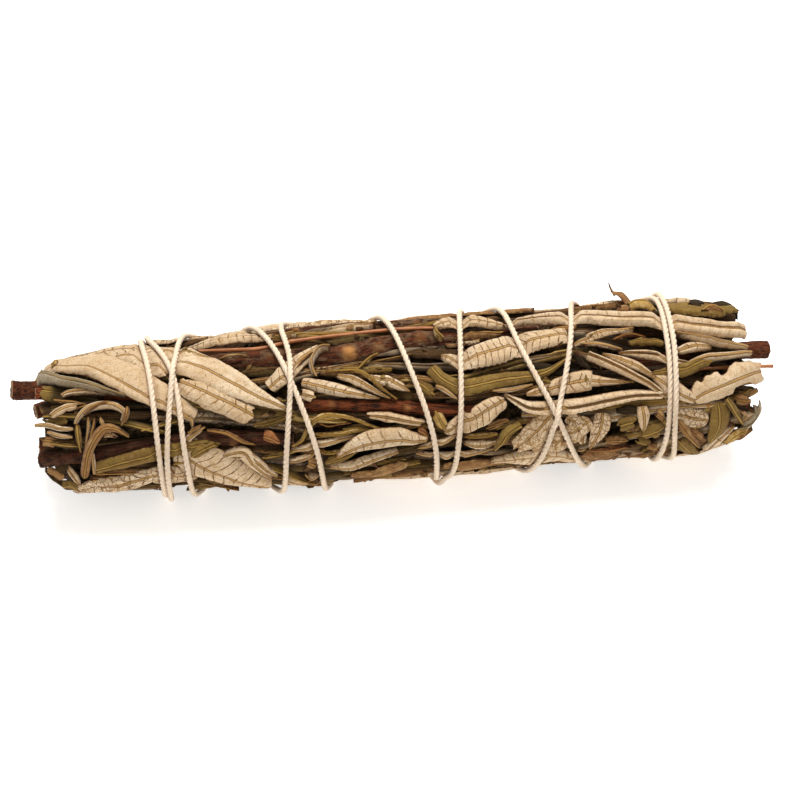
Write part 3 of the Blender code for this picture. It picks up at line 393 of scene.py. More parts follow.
RIGHT_LEAVES = (
    Leaf("groove_roll", "pale", "grooved", (MID_RIGHT, (890, 745), (980, 800), (1080, 845),
         (1230, 852), (1390, 836), (RIGHT, 130, 905), (RIGHT, 300, 872),
         (RIGHT, 450, 848), (RIGHT, 650, 845)), (2.6, 2.7), 1.8, (1.0, 0.4), (0.2, 0.6),
         toothed=True),
    Leaf("mid_right", "pale", "veiny", (MID_RIGHT, (1045, 748), (1200, 708), (1350, 665),
         (1480, 640), (RIGHT, 60, 728), (RIGHT, 200, 738), (RIGHT, 440, 745)), (3.2,
         3.2), 1.3, (0.6, -0.4), (0.15, 0.05)),
    Leaf("long_fold", "pale", "grooved", (MID_RIGHT, (1375, 408), (1540, 475),
         (RIGHT, 100, 540), (RIGHT, 250, 600), (RIGHT, 400, 675),
         (RIGHT, 550, 760), (RIGHT, 690, 870)), (1.6, 1.7), 2.0, (0.6, 0.8), (0.15,
         0.6)),
    Leaf("fold_upper", "pale", "veiny", (RIGHT, (200, 530), (340, 580), (480, 640),
         (590, 710)), (1.7, 1.3), 1.5, (0.4, 0.4), (0.2, 0.5)),
    Leaf("broad_left", "pale", "smooth", (RIGHT, (580, 705), (680, 770), (780, 840),
         (880, 885)), (2.8, 2.0), 1.7, (0.4, 1.2), (0.4, 0.6)),
    Leaf("right_broad", "pale", "smooth", (RIGHT, (860, 885), (960, 820), (1100, 760),
         (1250, 700), (1392, 655)), (4.6, 3.9), 1.9, (1.2, 1.2), (0.5, 0.92), torn=True),
    Leaf("top_long", "pale", "grooved", (MID_RIGHT, (885, 218), (1050, 190), (1250, 180),
         (RIGHT, 100, 250), (RIGHT, 350, 266), (RIGHT, 600, 276),
         (RIGHT, 720, 296), (RIGHT, 880, 318), (RIGHT, 1060, 338),
         (RIGHT, 1250, 362)), (3.6, 3.4), 1.6, (0.2, 1.2), (0.2, 0.95)),
    Leaf("top_long_low", "pale", "rolled", (RIGHT, (740, 372), (900, 410), (1080, 450),
         (1262, 490)), (1.5, 1.5), 1.1, (0.2, 1.0), (0.15, 0.7)),
    Leaf("top_olive", "olive", "flat", (RIGHT, (640, 185), (800, 200), (1000, 215),
         (1205, 232)), (5.5, 2.5), 0.9, (0.6, 0.8), (0.5, 0.6), torn=True),
    Leaf("top_black_a", "dark", "flat", (RIGHT, (820, 165), (880, 160), (950, 185)),
         (3.0, 1.6), 1.5, (0.8, 0.8), (0.5, 0.5), torn=True),
    Leaf("top_black_b", "dark", "flat", (RIGHT, (1010, 180), (1080, 165), (1170, 180)),
         (3.0, 1.6), 1.6, (0.8, 0.8), (0.5, 0.5), torn=True),
    Leaf("top_curl", "brown", "rolled", (RIGHT, (915, 228), (1000, 200), (1085, 222)),
         (1.4, 1.4), 1.4, (0.6, 0.6), (0.4, 0.4), torn=True),
    Leaf("lone_base", "brown", "flat", (RIGHT, (310, 205), (370, 195), (430, 200)),
         (2.0, 1.4), 1.2, (0.4, 0.4), (0.5, 0.5), torn=True),
    Leaf("gold_curl", "gold", "rolled", (RIGHT, (375, 190), (450, 170), (540, 172),
         (590, 200)), (2.4, 1.8), 1.4, (0.8, 0.4), (0.5, 0.5), torn=True),
    Leaf("speckled", "pale", "net", (MID_RIGHT, (1380, 375), (1500, 335),
         (RIGHT, 120, 400), (RIGHT, 260, 365), (RIGHT, 430, 330)), (1.6, 1.7), 1.2,
         (0.2, -0.2), (0.4, 0.3)),
    Leaf("brown_strap", "bark", "strap", (RIGHT, (280, 425), (390, 402), (520, 412)),
         (0.7, 0.7), 0.4),
    Leaf("grey_hole", "grey", "flat", (RIGHT, (280, 385), (370, 372), (450, 395)), (1.3, 1.2),
         -0.2, torn=True),
    Leaf("speck_olive", "olive", "flat", (RIGHT, (380, 458), (520, 440), (690, 455)),
         (1.4, 1.6), 0.5, (0.2, -0.2), (0.3, 0.5), torn=True),
    Leaf("toothed_strap", "pale", "strap", (RIGHT, (50, 455), (180, 470), (350, 498)),
         (1.0, 0.9), 1.1, (0.4, 0.2), (0.2, 0.3), toothed=True),
    Leaf("right_strap", "pale", "grooved", (RIGHT, (320, 520), (450, 530), (580, 545),
         (700, 580), (840, 595)), (1.6, 1.6), 1.3, (0.2, 0.0), (0.3, 0.4)),
    Leaf("right_strap_end", "pale", "rolled", (RIGHT, (820, 600), (950, 560), (1100, 545),
         (1290, 528)), (1.5, 1.6), 1.1, (0.0, 0.9), (0.3, 0.6)),
    Leaf("back_veined", "pale", "veiny", (RIGHT, (740, 515), (860, 480), (1000, 478)),
         (1.9, 1.7), 0.5, (-0.4, -0.4), (0.4, 0.5)),
    Leaf("right_ragged", "olive", "flat", (RIGHT, (545, 685), (680, 665), (820, 640),
         (930, 590), (1010, 595)), (2.0, 2.6), 1.0, (0.2, 0.6), (0.3, 0.5), torn=True),
    Leaf("net_panel", "pale", "net", (RIGHT, (745, 985), (860, 1010), (975, 1030)),
         (3.0, 4.0), 0.5, (-0.2, 0.0), (0.7, 0.8)),
    Leaf("upright_olive", "olive", "veiny", (RIGHT, (1045, 895), (1052, 1050), (980, 1195)),
         (3.6, 3.0), 1.0, (0.4, 0.6), (0.6, 0.15)),
    Leaf("side_strap", "olive", "rolled", (RIGHT, (1105, 865), (1160, 950), (1225, 1045)),
         (1.5, 1.4), 1.5, (1.2, 1.2), (0.7, 0.6)),
    Leaf("side_pale", "pale", "strap", (RIGHT, (1190, 940), (1250, 990), (1190, 1050)),
         (0.7, 0.7), 1.6, (1.2, 1.2), (0.4, 0.4), torn=True),
    Leaf("end_grey", "grey", "rolled", (RIGHT, (1320, 895), (1335, 960), (1280, 1040),
         (1180, 1075)), (2.0, 1.7), 1.0, (0.8, 0.4), (0.7, 0.5), torn=True),
    Leaf("end_dark", "brown", "flat", (RIGHT, (1150, 860), (1220, 880), (1300, 870)),
         (1.8, 1.8), 0.4, torn=True),
    Leaf("low_right", "pale", "veiny", (RIGHT, (945, 1260), (1040, 1175), (1165, 1065)),
         (1.6, 2.8), 1.1, (0.4, 0.6), (0.5, 0.2)),
    Leaf("low_gold", "gold", "net", (RIGHT, (1090, 1205), (1180, 1135), (1270, 1090)),
         (2.0, 2.6), 0.5, (0.2, 0.4), (0.5, 0.6), torn=True),
    Leaf("olive_a", "olive", "flat", (RIGHT, (300, 1080), (380, 1050), (475, 1035)),
         (2.2, 2.6), 1.1, (0.8, 0.8), (0.7, 0.6), torn=True),
    Leaf("olive_b", "olive", "flat", (RIGHT, (450, 1150), (560, 1115), (665, 1085)),
         (2.6, 2.6), 1.0, (0.4, 0.2), (0.7, 0.7), torn=True),
    Leaf("olive_b_low", "olive", "net", (RIGHT, (430, 1190), (490, 1190), (560, 1210)),
         (1.8, 1.8), 0.7, torn=True),
    Leaf("olive_c", "olive", "flat", (RIGHT, (745, 1180), (820, 1240), (900, 1300)),
         (2.2, 2.8), 0.8, (0.2, 0.2), (0.7, 0.4), torn=True),
    Leaf("hanging_tip", "pale", "net", (RIGHT, (205, 975), (185, 1090), (105, 1235)),
         (2.8, 2.6), 1.3, (0.2, 1.0), (0.75, 0.04)),
    Leaf("net_broad_a", "pale", "net", (MID_RIGHT, (955, 1150), (1040, 1075), (1140, 985),
         (1235, 885)), (3.6, 4.6), 0.6, (0.3, 0.0), (0.6, 0.8), torn=True),
    Leaf("net_broad_b", "pale", "net", (MID_RIGHT, (1090, 1160), (1210, 1105), (1340, 1045),
         (1500, 925)), (3.0, 4.4), 0.9, (0.2, 0.4), (0.5, 0.7)),
    Leaf("net_broad_c", "pale", "veiny", (MID_RIGHT, (790, 1240), (960, 1205), (1150, 1185),
         (1330, 1195), (1490, 1240)), (2.2, 5.0), 0.5, (-0.3, -0.1), (0.3, 0.5)),
    Leaf("net_side", "pale", "net", (RIGHT, (-60, 1000), (20, 1060), (60, 1200)), (2.4, 2.4),
         0.7, (0.2, 0.2), (0.6, 0.5)),
    Leaf("low_wrinkle", "brown", "net", (RIGHT, (20, 1290), (160, 1285), (340, 1262)),
         (2.4, 4.0), 0.1, (-0.3, -0.3), (0.5, 0.5), torn=True),
    Leaf("brown_slit", "bark", "strap", (RIGHT, (85, 1250), (240, 1240), (410, 1215)),
         (0.8, 0.8), 0.7, (0.4, 0.4), (0.3, 0.3)),
    Leaf("wrinkled_mid", "brown", "net", (RIGHT, (190, 1190), (290, 1170), (420, 1165)),
         (2.0, 2.0), 0.2, torn=True),
    Leaf("pink_tip", "pale", "flat", (RIGHT, (495, 925), (505, 1010), (500, 1115)),
         (1.9, 1.9), 1.5, (0.4, 1.2), (0.7, 0.04)),
    # A blackened sheet tucked where the front lies in deep shade: painted shadow.
    Leaf("painted_shadow_tuck", "dark", "flat", (RIGHT, (300, 960), (400, 950), (480, 960)), (1.6, 1.6),
         -0.4),
    Leaf("brown_band", "brown", "rolled", (RIGHT, (745, 1035), (810, 1110), (910, 1225)),
         (1.8, 1.5), 0.9, (0.0, 0.4), (0.5, 0.4)),
    Leaf("brown_band_b", "brown", "veiny", (RIGHT, (820, 1090), (900, 1150), (960, 1200)),
         (1.8, 1.4), 0.6, torn=True),
    Leaf("band_left", "brown", "flat", (RIGHT, (570, 960), (620, 990), (650, 1040)),
         (1.8, 1.8), 0.4, torn=True),
    Leaf("band_low", "brown", "net", (RIGHT, (520, 1240), (600, 1240), (680, 1270)),
         (2.0, 2.4), 0.4, torn=True),
)

# One leaf tip stands free above the top of the roll.
LONE_TIP = Leaf("lone_tip", "brown", "flat", ((66, 88), (68, 87), (72, 80)), (2.4, 2.4), 3.0,
                (5.6, -1.0), (0.04, 0.9))


class Stem(NamedTuple):
    """One woody stem. Each place of its course ends with how many mm deep its axis lies there.

    Before that a hidden stem has mm along and degrees round, and a seen one its pixel. Each knot
    is mm along, radians round the stem and how bare its scar is.
    """

    node: str
    diameter: float
    course: tuple
    tint: float
    grey: float
    knots: tuple = ()
    hidden: bool = False


STEMS = (
    Stem("stem_left", 5.6, ((12, 390, -1.2), (33, 390, 1.5), (101, 389, 10.5), (226, 386, 13)),
         0.3, 0.1),
    Stem("stem_left_inner", 3.4, ((36, 394, -1.2), (64, 395, 4.5), (100, 395, 5.3),
                                  (150, 398, 6.5)), 1.0, 0.0),
    Stem("stem_low", 4.4, ((41, 460, -0.6), (64, 457, 3.2), (102, 453, 3.3), (180, 441, 3),
                           (251, 437, 2.9), (292, 439, 4)), 0.1, 0.15,
         ((-62, 0.3, 0.2), (-46, 0.7, 0.3))),
    Stem("stem_main", 6.8, ((205, 368, 5.4), (251, 362, 4.5), (336, 358, 4.3), (394, 346, 4.3),
                            (452, 341, 4.5), (536, 336, 6.4)), 0.25, 0.6,
         ((-33, 0.6, 0.1), (-12, 0.5, 1.0), (-4, 0.9, 0.2), (9, 0.4, 0.2))),
    Stem("stem_top", 3.8, ((225, 343, 3.4), (289, 331, 2.6), (372, 325, 2.5), (425, 319, 2.5),
                           (482, 319, 3.4)), 0.15, 0.9,
         ((-26, 1.0, 0.5), (-16, 1.4, 0.3), (-7, 0.9, 0.6), (9, 1.3, 0.3), (18, 1.1, 0.4))),
    Stem("stem_middle", 3.8, ((304, 406, 3.1), (350, 405, 2.7), (391, 406, 2.7), (426, 409, 2.7),
                              (480, 411, 4)), 0.6, 0.05, ((-18, -0.2, 0.3), (3, 0.1, 0.4))),
    Stem("stem_right", 5.2, ((600, 366, 11), (700, 356, 10.5), (740, 351, 8.6), (766, 350, 3)),
         0.4, 0.1),
    Stem("stem_back_high", 4.6, ((-103, 150, 2.5), (-70, 148, 3), (-20, 140, 3.2),
                                 (30, 146, 3.1), (74, 152, 3.8)), 0.4, 0.4,
         ((-80, 0.0, 0.3), (-44, 0.5, 0.6), (-6, -0.4, 0.3), (38, 0.2, 0.5)), True),
    Stem("stem_heart", 4.8, ((-102, 240, 6), (-60, 235, 14), (0, 240, 17), (60, 250, 14),
                             (105, 262, 6.5)), 0.35, 0.2, (), True),
)
TWIGS = (
    Stem("twig_top", 1.1, ((199, 351, 1.6), (254, 349, 1.2), (295, 341, 1.2), (350, 334, 1.2),
                           (400, 329, 1.2), (433, 328, 1.8)), 0.5, 0.0),
    Stem("twig_right", 1.2, ((690, 369, 4.5), (740, 367, 3), (773, 366, -6)), 0.5, 0.0),
)

# The parts of the roll that the drawn leaves reach, in mm along, and their rows in degrees.
LAYER_FROM = -99
LAYER_TO = 103
UNDER_FRONT_ROWS = range(-84, 102, 10)
UNDER_BACK_ROWS = range(106, 270, 20)
BACK_ROWS = range(100, 262, 14)

# The drawn leaves: their length in mm, how far they lean and bend in degrees, and how many are
# torn.
DRAWN_LENGTHS = (34, 66)
DRAWN_TURN = 6
DRAWN_LEAN = 14
DRAWN_BEND = 5
DRAWN_TORN = 0.3

# The heart: its ends, its depth under the surface and its rings, lumps and floor gap.
HEART_ENDS = (-93, 96)
HEART_DEPTH = 4.6
HEART_LUMP = 0.7
HEART_LUMP_SIZE = 14
HEART_RINGS = 120
HEART_SIDES = 72
HEART_FLOOR_GAP = 1.5
HEART_CAP_SHARES = (0.66, 0.33, 0.03)

# The tips at the two ends: where they stand, and the radius and number of each ring of them.
END_TIPS = (("leaves_end_left", -94, -1, 700), ("leaves_end_right", 97, 1, 800))
END_RINGS = ((2.6, 3), (5.6, 6), (8.8, 9), (12.0, 12), (14.6, 15), (16.8, 17))
END_TIP_REACH = (1.5, 7.5)
END_TIP_ROOT = (9, 14)
END_TIP_HALVES = (1.6, 4.0)
END_TIP_TORN = 0.5

# The stage, in metres: the two lights and their sizes. The floor is in mm.
KEY_PLACE = (0.08, 0.26, 0.76)
KEY_SIZE = 0.45
FILL_PLACE = (-0.35, -0.75, 0.45)
FILL_SIZE = 0.8
FLOOR_HALF = 3000
FLOOR_DEPTH = 2

# The camera looks at the bundle as the photograph does. AXIS_PIXEL is where AXIS shows, and
# PIXEL_SLOPE is a pixel's width at a distance of one.
IMAGE_SIDE = 800
CAMERA_LENS = 100.0
CAMERA_SENSOR = 36.0
CAMERA_AZIMUTH = -5.9
CAMERA_ELEVATION = 50.0
CAMERA_DISTANCE = 0.645
AXIS_PIXEL = (391, 399)
PIXEL_SLOPE = CAMERA_SENSOR / CAMERA_LENS / IMAGE_SIDE
SEEN_ROUNDS = 8

# How much light the paper floor gives by itself, which keeps it near white.
PAPER_GLOW = 0.55


# Places on the roll.

def girth(along):
    """Mean radius of the roll, in mm, at places along it."""
    places, radii = zip(*GIRTH)
    return np.interp(along, places, radii)


def surface_radius(along, degrees):
    """Radius in mm of the roll's mean surface there. The roll is a little broader than high."""
    return girth(along) * (1 + OVAL * np.cos(2 * np.radians(FRONT_DEGREES + degrees)))


def on_bundle(along, degrees, lift):
    """Points in metres that lie that far along and round the roll and above its surface."""
    angle = np.radians(FRONT_DEGREES + degrees)
    radius = surface_radius(along, degrees) + lift
    y = AXIS[1] - np.cos(angle) * radius
    z = AXIS[2] + np.sin(angle) * radius
    return np.stack((along + AXIS[0], y, z), axis=-1) * MM


def camera_axes():
    """The directions to the camera's right, to its top and behind it."""
    turn, tilt = math.radians(CAMERA_AZIMUTH), math.radians(CAMERA_ELEVATION)
    level = math.cos(tilt)
    back = Vector((math.sin(turn) * level, -math.cos(turn) * level, math.sin(tilt)))
    right = Vector((math.cos(turn), math.sin(turn), 0))
    return right, back.cross(right), back


def camera_place():
    """Where the camera stands, from AXIS, in metres."""
    right, up, back = camera_axes()
    middle = IMAGE_SIDE / 2
    aim = right * (middle - AXIS_PIXEL[0]) + up * (AXIS_PIXEL[1] - middle)
    return (back + aim * PIXEL_SLOPE) * CAMERA_DISTANCE


@functools.cache
def seen_at(pixel, lift):
    """The place of the front that shows at a pixel, at that lift: mm along, degrees round."""
    right, up, back = camera_axes()
    middle = IMAGE_SIDE / 2
    eye = camera_place() / MM
    ray = (right * (pixel[0] - middle) + up * (middle - pixel[1])) * PIXEL_SLOPE - back
    along, degrees = 0.0, 0.0
    for _ in range(SEEN_ROUNDS):
        radius = surface_radius(along, degrees) + lift
        square = ray.y ** 2 + ray.z ** 2
        half = eye.y * ray.y + eye.z * ray.z
        rest = eye.y ** 2 + eye.z ** 2 - radius ** 2
        reach = -(half + math.sqrt(max(half ** 2 - square * rest, 0))) / square
        point = eye + ray * reach
        along = point.x
        degrees = math.degrees(math.atan2(point.z, -point.y)) - FRONT_DEGREES
    return along, degrees


def seen_leaf(leaf):
    """The leaf with its midrib laid on the roll, where the picture shows it."""
    crop, *places = leaf.spine
    spine = []
    for place in places:
        read_in, x, y = place if len(place) == 3 else (crop, *place)
        left, top, enlarged = read_in
        spine.append(seen_at((left + x / enlarged, top + y / enlarged), leaf.lift))
    return leaf._replace(spine=tuple(spine))


def smooth_through(points, share):
    """A Catmull-Rom curve through points, at shares of the way along the list."""
    points = np.asarray(points, float)
    share = np.asarray(share, float)
    last = len(points) - 1
    place = np.clip(share, 0, 1) * last
    first = np.minimum(place.astype(int), last - 1)
    t = (place - first)[..., None]
    a = points[np.maximum(first - 1, 0)]
    b = points[first]
    c = points[first + 1]
    d = points[np.minimum(first + 2, last)]
    return 0.5 * (2 * b + (c - a) * t + (2 * a - 5 * b + 4 * c - d) * t ** 2
                  + (3 * b - a - 3 * c + d) * t ** 3)


def ease(share):
    """0 to 1 with a soft start and end."""
    share = np.clip(share, 0, 1)
    return share * share * (3 - 2 * share)


def soft_min(first, second, softness):
    """The lower of two heights, with a rounded corner where they meet."""
    gap = np.clip(0.5 + (second - first) / (2 * softness), 0, 1)
    return second + (first - second) * gap - softness * gap * (1 - gap)


def cell_noise(points, seed):
    """Smooth noise from -1 to 1 at points, whose unit is one cell of the noise."""
    points = np.asarray(points, float)
    cell = np.floor(points).astype(np.int64)
    part = points - cell
    part = part * part * (3 - 2 * part)
    total = np.zeros(points.shape[:-1])
    for corner in np.ndindex(*(2,) * points.shape[-1]):
        key = np.full(points.shape[:-1], seed * 7919 + 17, np.int64)
        weight = np.ones(points.shape[:-1])
        for axis, step in enumerate(corner):
            key = (key * 31337 + (cell[..., axis] + step) * 92821) & 0x7FFFFFFF
            key = (key ^ (key >> 11)) * 48271 & 0x7FFFFFFF
            weight = weight * (part[..., axis] if step else 1 - part[..., axis])
        total += weight * ((key >> 7) % 4096 / 2047.5 - 1)
    return total


# The course of the twine, which the leaves are pressed down by.

def turn_places(pixels):
    """How far along a turn of the twine is at each of TURN_DEGREES."""
    places = sorted(seen_at(pixel, TWINE_LIFT)[::-1] for pixel in pixels)
    return tuple(np.interp(TURN_DEGREES, *zip(*places)))


@functools.cache
def twine_passes():
    """Where the twine is at every PASS_DEGREES that it has turned, straight across the back."""
    passes = [TWINE_FROM]
    for turn in (*map(turn_places, TWINE_TURNS), (TWINE_TO,)):
        start = passes[-1]
        for step in range(1, PASSES_PER_HALF):
            passes.append(start + (turn[0] - start) * step / PASSES_PER_HALF)
        passes.extend(turn)
    return passes


def twine_table():
    """The twine at every degree that it turns: degrees turned, mm along, mm of lift."""
    passes = twine_passes()
    whole = PASS_DEGREES * (len(passes) - 1)
    turned = np.arange(180 - TWINE_LEAD_IN_DEGREES, whole - TWINE_LEAD_OUT_DEGREES + 1.0)
    along = smooth_through([(place,) for place in passes], turned / whole)[..., 0]
    round_back = np.abs((270 - turned + 180) % 360 - 180)
    rise = ease((round_back - TWINE_RISE_FROM_DEGREES) / TWINE_RISE_OVER_DEGREES)
    clear = TWINE_DIAMETER * TWINE_CLEARANCE
    hump = np.zeros(len(turned))
    for back in range(360, len(turned), 360):
        apart = np.abs(along[back:] - along[:-back]) / (TWINE_HUMP_REACH * clear)
        over = np.where(apart < 1, clear * 0.5 * (1 + np.cos(np.pi * apart)), 0)
        hump[back:] = np.maximum(hump[back:], over)
    return turned, along, TWINE_LIFT + (TWINE_BACK_LIFT - TWINE_LIFT) * rise + hump


def twine_points(spacing):
    """Points in metres along the whole twine, about spacing mm apart."""
    turned, along, lift = twine_table()
    points = on_bundle(along, 270 - turned, lift)
    points[:, 2] = np.maximum(points[:, 2], (TWINE_DIAMETER / 2 + TWINE_FLOOR_GAP) * MM)
    run = np.concatenate(([0], np.cumsum(np.linalg.norm(np.diff(points, axis=0), axis=1))))
    places = np.linspace(0, run[-1], round(run[-1] / (spacing * MM)))
    return np.stack([np.interp(places, run, points[:, axis]) for axis in range(3)], axis=1)


def twine_cap(along, degrees):
    """The highest lift that a leaf may have there, so that it stays under the twine."""
    turned, strand_along, strand_lift = twine_table()
    cap = np.full(np.shape(along), 99.0)
    phase = (270 - degrees) % 360
    for lap in range(int(turned[-1]) // 360 + 1):
        place = phase + 360 * lap
        held = (place >= turned[0]) & (place <= turned[-1])
        apart = np.abs(along - np.interp(place, turned, strand_along))
        under = np.interp(place, turned, strand_lift) - TWINE_DIAMETER / 2 - PINCH_GAP
        limit = under + PINCH_SLOPE * np.maximum(apart - PINCH_HALF_WIDTH, 0)
        cap = np.where(held, np.minimum(cap, limit), cap)
    return cap


def stem_line(stem, count):
    """Places along a stem's axis, smoothed in distance from the roll's axis."""
    inner = []
    for first, second, depth in stem.course:
        place = (first, second) if stem.hidden else seen_at((first, second), -depth)
        inner.append((*place, girth(place[0]) - depth))
    course = smooth_through(inner, np.linspace(0, 1, count))
    return course[:, 0], course[:, 1], course[:, 2] - girth(course[:, 0])


def stem_cap(along, degrees):
    """The highest lift that a leaf may have there to pass under the stems."""
    cap = np.full(np.shape(along), 99.0)
    for stem in STEMS + TWIGS:
        places, turns, lifts = stem_line(stem, 60)
        turn = np.interp(along, places, turns)
        lift = np.interp(along, places, lifts)
        radius = stem.diameter / 2
        beside = np.abs(degrees - turn) * math.pi / 180 * girth(along)
        outside = np.maximum(np.maximum(places[0] - along, along - places[-1]), 0)
        apart = np.hypot(beside, outside)
        limit = lift - 0.4 * radius + 1.6 * np.maximum(apart - radius * 0.9, 0)
        cap = np.minimum(cap, limit)
    return cap


# Leaves.

class Sheet(NamedTuple):
    """Part of a mesh: points, quads, the surface of each quad, and marks at each point."""

    points: np.ndarray
    quads: np.ndarray
    surfaces: np.ndarray
    uv: np.ndarray
    marks: dict


def leaf_width(leaf, share):
    """How wide the leaf is there, as a share of its widest."""
    widest = 0.45
    first = leaf.blunt[0] + (1 - leaf.blunt[0]) * np.sin(np.pi / 2 * share / widest)
    rest = (1 - share) / (1 - widest)
    second = leaf.blunt[1] + (1 - leaf.blunt[1]) * np.sin(np.pi / 2 * rest)
    return np.where(share < widest, first, second)


def leaf_lift(leaf, share, along):
    """Lift of the leaf's spine, which dips or rises to each end."""
    reach = 0.4
    dip_start = (leaf.lift - leaf.ends[0]) * (1 - ease(share / reach))
    dip_end = (leaf.lift - leaf.ends[1]) * (1 - ease((1 - share) / reach))
    lift = leaf.lift - dip_start - dip_end
    if leaf.radius:
        lift = lift + leaf.radius - girth(along)
    return lift


def margin(leaf, arc, side, seed):
    """Width of the leaf's side beside each place along it, as a share of the smooth width."""
    ragged = RAGGED_TORN if leaf.torn else RAGGED
    place = np.stack((arc / 2.4, side * 3.7 + 0.5 * np.ones_like(arc)), axis=-1)
    fine = np.stack((arc / 0.9, side * 5.1 + 0.5 * np.ones_like(arc)), axis=-1)
    width = 1 + ragged * cell_noise(place, seed) + 0.5 * ragged * cell_noise(fine, seed + 1)
    if leaf.torn:
        tear = cell_noise(np.stack((arc / 3.1, side * 2.3), axis=-1), seed + 2)
        width = width - TEAR_DEPTH * ease((tear - 0.35) / 0.3)
    if leaf.toothed:
        tooth = np.abs((arc / TOOTH_SPACING) % 1 - 0.5) * 2
        width = width - TOOTH_DEPTH * tooth * (side < 0)
    return width


def vein_order(leaf, arc, across, settings, seed):
    """Which side vein lies there: whole numbers on the veins, which lean to the leaf's tip."""
    lean = -0.5 if leaf.blunt[0] > leaf.blunt[1] else 0.5
    spacing = settings.vein_spacing * 1000
    if leaf.form == "quilted":
        lean *= 0.5
        spacing *= 0.7
    place = np.stack((arc / 7, across / 6), axis=-1)
    bend = 0.9 * cell_noise(place, seed + 11) + 0.3 * cell_noise(place * 3, seed + 12)
    return (arc + lean * np.abs(across) + bend) / spacing


